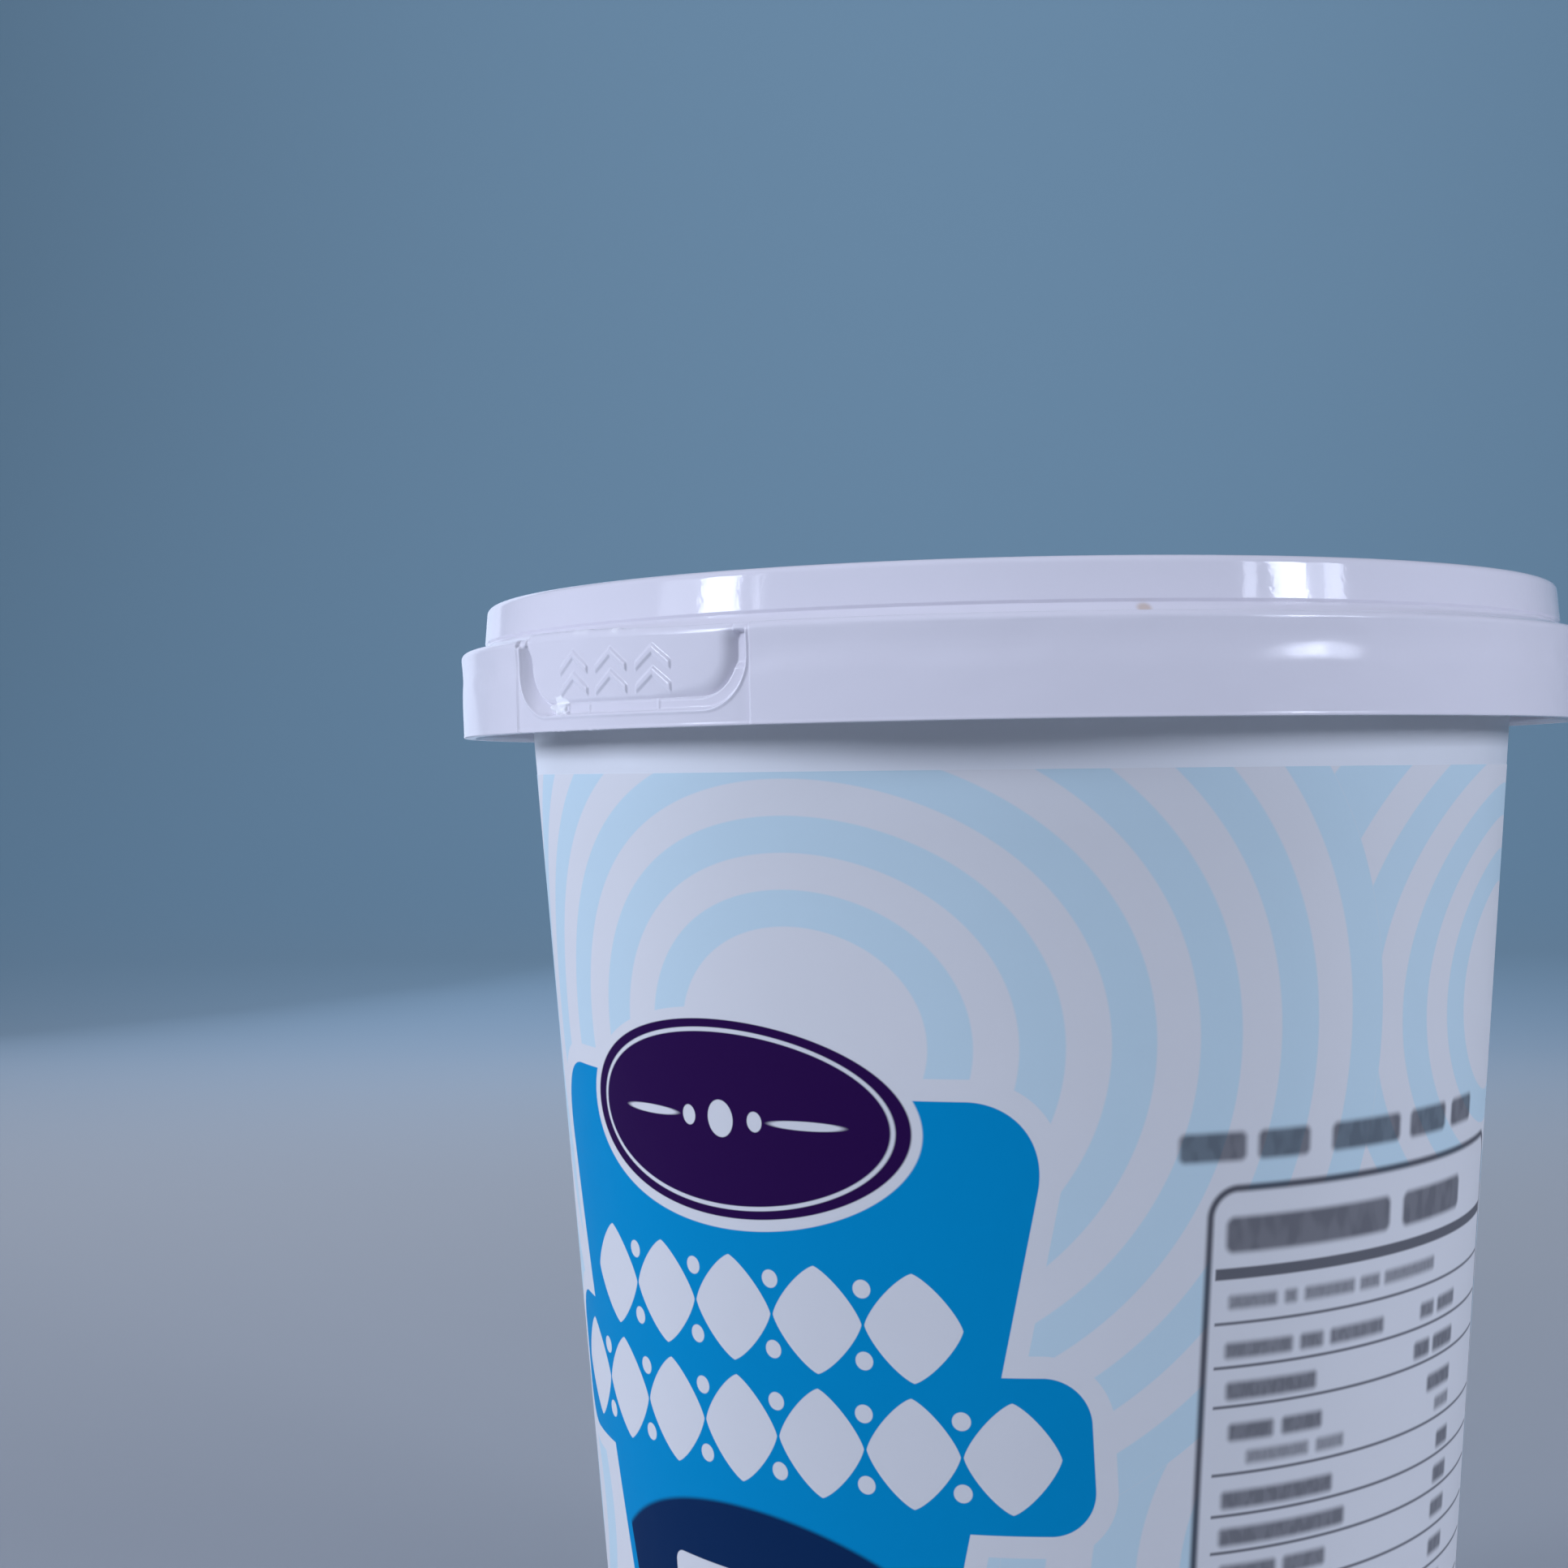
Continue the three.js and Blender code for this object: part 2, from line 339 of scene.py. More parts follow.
# A set of rings: how far out a point is, counted in steps from the white disc's edge, with its
# drop increased by bow times the squared distance round over the radius. Inside the set even
# steps are tinted and odd ones white, as the sine of pi times the step is above or below 0. The
# last tinted ring is wider by Widened steps, and Under is what lay beneath.
def makeRingSet():
    tree, given, made = newGroup(
        "ringSet", [*wallInputs, "Outer Step", "Widened", "Under"], ["Tint"])
    length = lengthRound(given)
    bow = length ** 2.0 / given["Radius"] * ringPrint["bow"]
    across = length / ringPrint["stretch"]
    down = given["Drop"] - given["Centre Drop"] + bow
    reach = calculate("SQRT", across ** 2.0 + down ** 2.0)
    out = (reach - ringPrint["discRadius"]) / ringPrint["step"]
    wideStart = given["Outer Step"] - given["Widened"] - ringPrint["wideningPlace"]
    beyond = calculate("MAXIMUM", out - (wideStart + given["Widened"]), 0.0)
    step = calculate("MINIMUM", out, wideStart) + beyond
    step = calculate("MAXIMUM", step, ringPrint["discStep"])
    soft = ringPrint["softness"]
    tint = ranged(calculate("SINE", step * math.pi), -soft, soft, 0.0, 1.0)
    inside = calculate("LESS_THAN", out, given["Outer Step"])
    feedAll(made, {"Tint": given["Under"] + (tint - given["Under"]) * inside})
    return tree


inkCloud = {
    "upright": 0.45,  # the cloud changes this much more slowly down than round
    "thinning": (0.38, 0.62),  # the cloud's values between which the ink thins
    "thinnest": 0.93,
}


# Slight upright unevenness in the bars' ink: one cloud of noise, stretched upright
def makeInkStrokes():
    tree, given, made = newGroup("inkStrokes", ["Angle", "Drop", "Radius", "Period"], ["Mask"])
    length = given["Angle"] * given["Radius"] * (math.pi / 180)
    down = given["Drop"] / given["Period"] * inkCloud["upright"]
    spot = tree.nodes.new("ShaderNodeCombineXYZ")
    feedAll(spot, {0: length / given["Period"], 1: down})
    cloud = noiseValue(Signal(spot), 1.0, 1.0)
    thinned = ranged(cloud, *inkCloud["thinning"], 1.0, inkCloud["thinnest"])
    feedAll(made, {"Mask": thinned})
    return tree


# Small dark specks: 1 near the middle of a few cells of a Voronoi pattern, picked by cell colour,
# with soft edges from half the speck's size outwards
def makeDustSpecks():
    tree, given, made = newGroup("dustSpecks", ["Place", "Scale", "Size", "Share"], ["Mask"])
    cells = tree.nodes.new("ShaderNodeTexVoronoi")
    feedAll(cells, {"Vector": given["Place"], "Scale": given["Scale"]})
    parts = tree.nodes.new("ShaderNodeSeparateColor")
    feed(parts.inputs[0], Signal(cells, "Color"))
    picked = calculate("LESS_THAN", Signal(parts, 0), given["Share"])
    size = given["Size"] * Signal(parts, 1)
    near = ranged(Signal(cells, "Distance"), size * 0.5, size, 1.0, 0.0)
    feedAll(made, {"Mask": near * picked})
    return tree


# Scales of the noises in the moulded skin: its tone, its gloss, and its flow lines and fine
# grain, which make its height with the flow weighted
skinNoise = {"tone": 45.0, "gloss": 260.0, "flow": 160.0, "grain": 1800.0, "flowWeight": 10.0}


# Moulded plastic: broad slow mottling of the tone and the fine unevenness of a moulded skin
def makeMouldedSkin():
    tree, given, made = newGroup(
        "mouldedSkin", ["Place", "Tone", "Mottle", "Roughness", "Roughness Spread"],
        ["Color", "Roughness", "Height"])
    place = given["Place"]
    shift = (noiseValue(place, skinNoise["tone"]) - 0.5) * given["Mottle"]
    tone = tree.nodes.new("ShaderNodeHueSaturation")
    feedAll(tone, {"Color": given["Tone"], "Value": shift + 1.0})
    spread = (noiseValue(place, skinNoise["gloss"]) - 0.5) * given["Roughness Spread"]
    flow = noiseValue(place, skinNoise["flow"], 1.0) * skinNoise["flowWeight"]
    feedAll(made, {
        "Color": Signal(tone),
        "Roughness": spread + given["Roughness"],
        "Height": flow + noiseValue(place, skinNoise["grain"], 1.0)})
    return tree


wallPlace = makeWallPlace()
boxMask = makeBoxMask()
ovalMask = makeOvalMask()
ringSet = makeRingSet()
inkStrokes = makeInkStrokes()
dustSpecks = makeDustSpecks()
mouldedSkin = makeMouldedSkin()
print("shared node groups built")


# What all the pieces share: the moulded skin over a tone, with dust specks on it. Gives the
# colour, and the skin with its roughness and height.
def addSkin(tree, place, tone, finish):
    skin = useGroup(tree, mouldedSkin, {
        "Place": place, "Tone": tone, "Mottle": finish["mottle"],
        "Roughness": finish["roughness"], "Roughness Spread": finish["roughnessSpread"]})
    scale, size, share = finish["specks"]
    specks = useGroup(
        tree, dustSpecks, {"Place": place, "Scale": scale, "Size": size, "Share": share})
    return mixed(tree, specks["Mask"], skin["Color"], finish["speckTone"]), skin


def fillShader(shader, tone, roughness, height, finish):
    bump = shader.id_data.nodes.new("ShaderNodeBump")
    strength, distance = finish["bump"]
    feedAll(bump, {"Strength": strength, "Distance": distance, "Height": height})
    feedAll(shader, {"Base Color": tone, "Roughness": roughness, "Normal": Signal(bump),
                     **finish["shader"]})


# Tub: the cup under the print

# In a finish, specks are scale, size and share, and bump is strength and distance in metres
tub = {
    "baseRadius": 43.0,
    "draft": 0.0735,  # growth of the radius for each millimetre of height
    "cornerRadius": 3.0,
    "footWidth": 3.4,
    "footRounds": (0.2, 0.8),  # the foot's flat is narrower by these at its inside and outside
    "baseRecess": 2.2,
    "recessSlope": 0.9,
    "hubRadius": 8.0,  # the base's ring-shaped panel lies between hub and margin
    "panelMargin": 5.4,
    "panelSlope": 0.6,
    "panelDepth": 0.4,
    "wallRows": 60,
    "rowGap": 0.3,  # between the wall's rows and the corner and rim
    "rimRadius": 55.9,
    "rimWidth": 1.9,
    "rimTop": 140.6,
    "rimFoot": 134.6,
    "rimUnderSlope": 0.9,
    "fillTop": 137.2,
    "columns": 288,
    "plasticTone": (0.74, 0.76, 0.785, 1.0),
    "finish": {
        "roughness": 0.34,
        "roughnessSpread": 0.10,
        "mottle": 0.05,
        "specks": (260.0, 0.06, 0.04),
        "speckTone": (0.10, 0.10, 0.12, 1.0),
        "bump": (0.20, 0.00003),
        "shader": {"IOR": 1.49},
    },
}


def wallRadius(height):
    return tub["baseRadius"] + tub["draft"] * height


# The wall is a cone; base, foot, corner and rim are one profile turned about Z
def makeTub():
    corner = tub["cornerRadius"]
    lean = math.atan(tub["draft"])
    footOuter = wallRadius(corner * (1 - math.sin(lean))) - corner * math.cos(lean)
    footInner = footOuter - tub["footWidth"]
    recess, recessEdge = tub["baseRecess"], footInner - tub["recessSlope"]
    panelTop, panelEdge = recess - tub["panelDepth"], recessEdge - tub["panelMargin"]
    innerRound, outerRound = tub["footRounds"]
    base = roundedProfile(
        [(0, recess), (tub["hubRadius"], recess), (tub["hubRadius"] + tub["panelSlope"], panelTop),
         (panelEdge - tub["panelSlope"], panelTop), (panelEdge, recess), (recessEdge, recess),
         (footInner + innerRound, 0), (footOuter - outerRound, 0)],
        [0, 0.3, 0.3, 0.3, 0.3, 0.6, 0.5, 0])
    bend = arcPoints(footOuter, corner, corner, -90, -math.degrees(lean), 12)
    wallHeights = np.linspace(
        bend[-1, 1] + tub["rowGap"], tub["rimFoot"] - tub["rowGap"], tub["wallRows"])
    wall = np.stack([wallRadius(wallHeights), wallHeights], axis=1)
    rimInner = tub["rimRadius"] - tub["rimWidth"]
    rim = roundedProfile(
        [(wallRadius(tub["rimFoot"]), tub["rimFoot"]),
         (tub["rimRadius"], tub["rimFoot"] + tub["rimUnderSlope"]),
         (tub["rimRadius"], tub["rimTop"]), (rimInner, tub["rimTop"]),
         (rimInner, tub["fillTop"]), (0, tub["fillTop"])],
        [0, 0.3, 0.6, 0.5, 0.3, 0])
    profile = np.concatenate([base, bend, wall, rim])
    angles = np.arange(tub["columns"]) * 360 / tub["columns"]
    return surfacePiece("tub", turnedGrid(profile, angles))[0]


def makeTubPlastic():
    material, tree, shader, place = newMaterial("tubPlastic")
    tone, skin = addSkin(tree, place, tub["plasticTone"], tub["finish"])
    fillShader(shader, tone, skin["Roughness"], skin["Height"], tub["finish"])
    return material


placePiece(makeTub(), "cup", makeTubPlastic())
print("tub built")


# Label: the printed film moulded into the wall, in four quarters

label = {
    "proud": 0.04,  # how far the film stands off the bare wall
    "topDrop": 17.7,
    "topFall": 0.45,  # its top edge lies lower on the right by this much
    "foot": 7.5,  # height of its lower edge
    "columns": 180,
    "rows": 90,
    "edgeSink": 0.08,  # its top and foot turn back into the wall by this
    "edgeShare": 0.002,  # of the bake's map, for each of those turned edges
    "printReach": 46,  # degrees from a quarter's middle that its print has to cover
    "leanRoom": 8,  # degrees added for a box's leaning sides
    "white": (0.69, 0.695, 0.71, 1.0),
    "tint": (0.53, 0.675, 0.74, 1.0),
    "blue": (0.0, 0.256, 0.540, 1.0),
    "purple": (0.022, 0.004, 0.058, 1.0),
    "navy": (0.004, 0.024, 0.088, 1.0),
    "ink": (0.035, 0.037, 0.055, 1.0),
    "seamWidth": 0.35,
    "seamHeight": 60.0,  # the height at which the seam has that width
    "finish": {
        "roughness": 0.48,
        "roughnessSpread": 0.08,
        "mottle": 0.04,
        "specks": (210.0, 0.05, 0.03),
        "speckTone": (0.08, 0.08, 0.10, 1.0),
        "bump": (0.20, 0.00003),
        "shader": {"IOR": 1.47, "Specular IOR Level": 0.05},
    },
}
sharpEdge = 0.07  # half the softness of a printed edge, in millimetres
quarters = {"labelFront": 0, "labelRight": 90, "labelBack": 180, "labelLeft": 270}

# Sets of rings, lowest first: angle, drop, how many steps out the set reaches, and by how many
# its last tinted ring is wider
ringSets = [
    (-164.0, 96.0, 10.0, 0.0),
    (128.0, 44.0, 7.0, 0.0),
    (57.7, 92.0, 9.0, 0.0),
    (-95.0, 95.0, 9.0, 0.0),
    (73.4, 40.5, 8.68, 0.68),
    (-132.0, 46.0, 9.0, 0.0),
    (171.0, 40.0, 9.0, 0.0),
    (-23.3, 42.3, 11.0, 0.0),
]

panel = {
    "angle": -33.2,
    "top": 47.1,
    "foot": 116.0,
    "middleHalfAngle": 28.9,  # half the width halfway down
    "taper": 0.300,  # lean of each side, degrees for each millimetre
    "corner": 8.0,
    "bannerAngle": -32.7,
    "bannerHalfAngle": 40.6,
    "bannerTop": 71.8,
    "bannerFoot": 86.2,
    "bannerCorner": 4.2,
    "outline": 2.0,
}
badge = {
    "angle": -33.2,
    "drop": 49.9,
    "halo": (23.75, 10.4),
    "rim": (22.6, 9.3),
    "line": (20.9, 8.5),
    "field": (20.4, 8.1),
}
# Two rows of plump lozenges with a pair of dots between neighbours: drop of the middle, half
# height, both ends in degrees, and how many
lozengeRows = [
    {"drop": 67.7, "half": 5.0, "left": -61.0, "right": -5.6, "count": 5},
    {"drop": 79.2, "half": 5.1, "left": -71.0, "right": 4.6, "count": 7},
]
lozenge = {"power": 1.3, "fill": 0.97, "dotHalf": 0.85, "dotRise": 3.3}
# The badge's ornament, mirrored about its middle: distance in degrees, half angle, half height
badgeMarks = [(0.0, 1.75, 1.75), (4.6, 0.95, 0.95), (10.9, 4.4, 0.42)]
navyBar = {"left": -46.0, "right": -21.0, "top": 93.3, "foot": 97.6, "corner": 1.2}
bowl = {"angle": -33.3, "drop": 104.0, "halfAngle": 31.0, "halfHeight": 17.2, "soft": 0.3}
bowlInset = {"sides": 1.4, "foot": 1.5}  # of the panel's edge round the bowl, in degrees and mm

infoBox = {
    "left": 19.2,
    "right": 75.0,
    "top": 55.4,
    "foot": 111.0,
    "corner": 2.6,
    "line": 0.32,  # half the thickness of its border
    "lineStrength": 0.9,
    "barStrength": 0.82,  # the bars let some white through
    "middleDrop": 80.0,  # where the border's upright sides have its thickness
    "frameSoftness": 0.30,
    "thickRule": (63.1, 0.52),
    "thickStrength": 0.85,
    "ruleStrength": 0.8,
    "ruleCorner": 0.1,
    "ruleSoftness": 0.15,
    "barSoftness": 0.42,
    "barCorner": 0.5,  # shares of a bar's half height
    "barStrokes": 1.1,
    "rules": [67.6, 71.6, 75.2, 81.4, 85.2, 88.6, 92.4, 96.2, 100.0, 103.8],
    "ruleHalf": 0.14,
    "ruleLeft": 20.9,
    "ruleRight": 73.4,
}
# Rows of grey bars: drop, half height, edges in degrees, and strength
barRows = [
    (51.6, 1.30, [(16.7, 24.2), (25.6, 32.0), (35.0, 45.7), (47.6, 55.4), (57.0, 63.4)], 1.0),
    (59.6, 1.62, [(22.1, 44.6), (47.0, 60.8)], 1.0),
    (65.7, 0.62, [(22.5, 28.4), (29.4, 31.0), (32.0, 39.2), (40.1, 43.3), (44.2, 54.6)], 0.8),
    (70.1, 0.72, [(22.2, 30.6), (31.6, 34.8), (35.8, 44.4), (51.9, 55.2), (56.2, 61.4)], 0.9),
    (73.8, 0.82, [(22.4, 34.0), (50.9, 54.6), (55.5, 61.4)], 0.95),
    (77.6, 0.80, [(22.8, 28.4), (29.5, 35.0), (54.6, 61.4)], 0.95),
    (80.0, 0.62, [(25.0, 33.2), (34.3, 38.4), (57.0, 61.4)], 0.75),
    (83.8, 0.82, [(22.1, 36.9), (58.2, 62.0)], 0.95),
    (87.2, 0.82, [(21.9, 39.0), (57.8, 62.0)], 0.95),
    (90.6, 0.80, [(22.0, 29.2), (30.2, 36.2), (57.6, 62.0)], 0.92),
    (94.4, 0.80, [(22.0, 33.4), (57.6, 62.0)], 0.92),
    (98.2, 0.80, [(22.0, 29.8), (58.2, 62.0)], 0.92),
    (102.0, 0.80, [(22.0, 35.6), (58.2, 62.0)], 0.92),
    (106.6, 0.62, [(22.0, 30.4), (31.4, 40.0), (41.0, 52.8), (53.8, 60.0)], 0.8),
]


# One quarter: rows climb the cone at even heights and columns go round it, with a rim at top
# and foot that turns back into the wall. The bake's map is (share round, share up).
def makeLabelQuarter(name, middle):
    halfQuarter = 45
    turn = np.linspace(middle - halfQuarter, middle + halfQuarter, label["columns"] + 1)
    side = np.sin(np.radians(turn))
    top = totalHeight - label["topDrop"] - label["topFall"] * (0.5 + 0.5 * side)
    share = np.linspace(0, 1, label["rows"] + 1)[:, None]
    height = label["foot"] + (top[None, :] - label["foot"]) * share
    height = np.concatenate([height[:1], height, height[-1:]])
    radius = wallRadius(height) + label["proud"]
    radius[[0, -1]] -= label["edgeSink"]
    angle = np.radians(turn)[None, :]
    grid = np.stack([radius * np.sin(angle), -radius * np.cos(angle), height], axis=-1)
    piece, used = surfacePiece(name, grid, closedRound=False)
    steep = 1 / math.hypot(1, tub["draft"])
    facing = np.stack([np.sin(angle) * steep + 0 * height, -np.cos(angle) * steep + 0 * height,
                       -tub["draft"] * steep + 0 * height], axis=-1)
    piece.data.normals_split_custom_set_from_vertices(facing.reshape(-1, 3)[used].tolist())
    rim = label["edgeShare"]
    up = np.concatenate([[0], rim + (1 - 2 * rim) * share[:, 0], [1]])[:, None]
    place = np.stack(np.broadcast_arrays(np.linspace(0, 1, len(turn))[None, :], up), axis=-1)
    corners = np.zeros(len(piece.data.loops), np.int32)
    piece.data.loops.foreach_get("vertex_index", corners)
    layer = piece.data.uv_layers.new(name="OFBake")
    layer.data.foreach_set("uv", place.reshape(-1, 2)[used][corners].astype(np.float32).ravel())
    return piece


# Degrees round the wall as millimetres, at the wall's radius at that drop
def degreesToLength(degrees, drop):
    return math.radians(degrees) * wallRadius(totalHeight - drop)


class Printer:
    # Lays one field of colour after another on a quarter, and skips what lies outside it
    def __init__(self, tree, place, middle):
        self.tree = tree
        self.middle = middle
        self.wall = useGroup(tree, wallPlace, {"Place": place})
        self.colour = None
        self.strokes = {}

    def meets(self, angle, halfAngle):
        away = abs((angle - self.middle + 180) % 360 - 180)
        return away <= label["printReach"] + halfAngle

    def field(self, group, angle, drop, halfAngle, halfHeight, soft, values):
        return useGroup(self.tree, group, {
            **self.wall, "Centre Angle": angle, "Centre Drop": drop,
            "Half Width": degreesToLength(halfAngle, drop), "Half Height": halfHeight,
            "Softness": soft, **values})["Mask"]

    def box(self, left, right, top, foot, corner, taper=0.0, soft=sharpEdge):
        middle, halfAngle, drop = (left + right) / 2, (right - left) / 2, (top + foot) / 2
        if not self.meets(middle, halfAngle + label["leanRoom"]):
            return None
        return self.field(boxMask, middle, drop, halfAngle, (foot - top) / 2, soft, {
            "Corner": corner, "Taper": degreesToLength(taper, drop)})

    def oval(self, angle, drop, halfAngle, halfHeight, soft=sharpEdge, power=2.0):
        if not self.meets(angle, halfAngle):
            return None
        return self.field(
            ovalMask, angle, drop, halfAngle, halfHeight, soft, {"Power": power})

    # The ink's unevenness for bars of one size, made once
    def strokesFor(self, period):
        if period not in self.strokes:
            values = {**self.wall, "Period": period}
            self.strokes[period] = useGroup(self.tree, inkStrokes, values)["Mask"]
        return self.strokes[period]

    def lay(self, mask, tone, strength=1.0, strokePeriod=0.0):
        if mask is None:
            return
        if strokePeriod:
            mask = mask * self.strokesFor(strokePeriod)
        if strength != 1.0:
            mask = mask * strength
        self.colour = mixed(self.tree, mask, self.colour, tone)


def printRings(printer):
    tree, tint = printer.tree, 1.0
    for angle, drop, outerStep, widened in ringSets:
        reach = (ringPrint["discRadius"] + ringPrint["step"] * outerStep) * ringPrint["stretch"]
        if printer.meets(angle, math.degrees(reach / wallRadius(0))):
            tint = useGroup(tree, ringSet, {
                **printer.wall, "Centre Angle": angle, "Centre Drop": drop,
                "Outer Step": outerStep, "Widened": widened, "Under": tint})["Tint"]
    printer.colour = mixed(tree, tint, label["white"], label["tint"])


def printLozenges(printer, row):
    step = (row["right"] - row["left"]) / row["count"]
    dot = math.degrees(lozenge["dotHalf"] / wallRadius(totalHeight - row["drop"]))
    for number in range(row["count"]):
        middle = row["left"] + (number + 0.5) * step
        printer.lay(printer.oval(middle, row["drop"], step / 2 * lozenge["fill"], row["half"],
                                 power=lozenge["power"]), label["white"])
        for side in (-1, 1) if number else ():
            printer.lay(printer.oval(middle - step / 2, row["drop"] + side * lozenge["dotRise"],
                                     dot, lozenge["dotHalf"]), label["white"])


def printPanel(printer):
    middle, half = (panel["top"] + panel["foot"]) / 2, panel["middleHalfAngle"]
    for grow, tone in ((panel["outline"], label["white"]), (0.0, label["blue"])):
        wide = math.degrees(grow / wallRadius(totalHeight - middle))
        body = printer.box(
            panel["angle"] - half - wide, panel["angle"] + half + wide, panel["top"] - grow,
            panel["foot"] + grow, panel["corner"] + grow, panel["taper"])
        banner = printer.box(
            panel["bannerAngle"] - panel["bannerHalfAngle"] - wide,
            panel["bannerAngle"] + panel["bannerHalfAngle"] + wide,
            panel["bannerTop"] - grow, panel["bannerFoot"] + grow, panel["bannerCorner"] + grow)
        printer.lay(body, tone)
        printer.lay(banner, tone)
    dish, half = printer.oval(**bowl), half - bowlInset["sides"]
    inset = printer.box(
        panel["angle"] - half, panel["angle"] + half, panel["top"],
        panel["foot"] - bowlInset["foot"], panel["corner"], panel["taper"])
    if dish is not None and inset is not None:
        printer.lay(dish * inset, label["navy"])
    printer.lay(printer.box(**navyBar), label["white"])
    for row in lozengeRows:
        printLozenges(printer, row)


def printBadge(printer):
    for part, tone in (("halo", "white"), ("rim", "purple"), ("line", "white"),
                       ("field", "purple")):
        printer.lay(printer.oval(badge["angle"], badge["drop"], *badge[part]), label[tone])
    for away, halfAngle, halfHeight in badgeMarks:
        for side in (-1, 1) if away else (1,):
            printer.lay(printer.oval(badge["angle"] + side * away, badge["drop"], halfAngle,
                                     halfHeight), label["white"])


def printInfoBox(printer):
    for half, tone in ((infoBox["line"], "ink"), (-infoBox["line"], "white")):
        wide = math.degrees(half / wallRadius(totalHeight - infoBox["middleDrop"]))
        border = printer.box(
            infoBox["left"] - wide, infoBox["right"] + wide, infoBox["top"] - half,
            infoBox["foot"] + half, infoBox["corner"] + half, soft=infoBox["frameSoftness"])
        printer.lay(border, label[tone], infoBox["lineStrength"] if tone == "ink" else 1.0)
    rules = [(*infoBox["thickRule"], infoBox["thickStrength"])]
    rules += [(drop, infoBox["ruleHalf"], infoBox["ruleStrength"]) for drop in infoBox["rules"]]
    for drop, half, strength in rules:
        rule = printer.box(
            infoBox["ruleLeft"], infoBox["ruleRight"], drop - half, drop + half,
            infoBox["ruleCorner"], soft=infoBox["ruleSoftness"])
        printer.lay(rule, label["ink"], strength)
    for drop, half, edges, strength in barRows:
        for left, right in edges:
            bar = printer.box(
                left, right, drop - half, drop + half, half * infoBox["barCorner"],
                soft=infoBox["barSoftness"])
            printer.lay(bar, label["ink"], strength * infoBox["barStrength"],
                        half * infoBox["barStrokes"])


def makeLabelPrint(name, middle):
    material, tree, shader, place = newMaterial(name + "Print")
    printer = Printer(tree, place, middle)
    printRings(printer)
    printPanel(printer)
    printBadge(printer)
    printInfoBox(printer)
    if middle == 180:
        seam = math.degrees(label["seamWidth"] / 2 / wallRadius(label["seamHeight"]))
        printer.lay(printer.box(180 - seam, 180 + seam, 0, totalHeight, 0), label["white"])
    tone, skin = addSkin(tree, place, printer.colour, label["finish"])
    fillShader(shader, tone, skin["Roughness"], skin["Height"], label["finish"])
    return material


for name, middle in quarters.items():
    placePiece(makeLabelQuarter(name, middle), "cup", makeLabelPrint(name, middle))
print("label printed")


# Lid: disc, raised ring, ledge and skirt

lid = {
    "discTop": 138.6,
    "discWall": 1.1,
    "stepRadius": 43.0,
    "stepHeight": 0.5,
    "ringInnerRadius": 52.6,
    "ringTopRadius": 57.15,
    "ringFootRadius": 57.47,
    "ringRound": 0.65,
    "coveDrop": 3.72,
    "slopeDrop": 4.0,
    "ledgeDrop": 4.80,
    "coveRadius": 57.27,
    "slopeRadius": 58.1,
    "skirtOuterRadius": 57.4,
    "skirtDrop": 9.5,
    "snapRadius": 55.5,
    "snapHeight": 0.7,
    "snapRise": 0.1,  # of the bead's point above the rim's foot
    "dish": (6.0, 0.4, 0.25),  # radius, slope and depth of the small dish in the middle
    "pin": (0.9, 0.3, 0.05),  # radius, slope and height of the gate's pin in it
    "fitGap": 0.3,
    "ledgeUnderDrop": 5.97,
    "columns": 288,
    "plasticTone": (0.765, 0.748, 0.805, 1.0),
    "finish": {
        "roughness": 0.075,
        "roughnessSpread": 0.06,
        "mottle": 0.04,
        "specks": (240.0, 0.07, 0.05),
        "speckTone": (0.07, 0.07, 0.08, 1.0),
        "bump": (0.28, 0.00002),
        "shader": {"IOR": 1.49},
    },
    "tornTone": (0.93, 0.93, 0.95, 1.0),
    "tornRoughness": 0.3,  # added where the band is torn
    "gateMark": (11.3, 4.5, 57.9),  # angle, drop and radius of the moulding's gate mark
    "gateReach": (0.0003, 0.0009),  # metres from its middle over which it fades
    "gateStrength": 0.75,
    "gateTone": (0.60, 0.47, 0.38, 1.0),
}


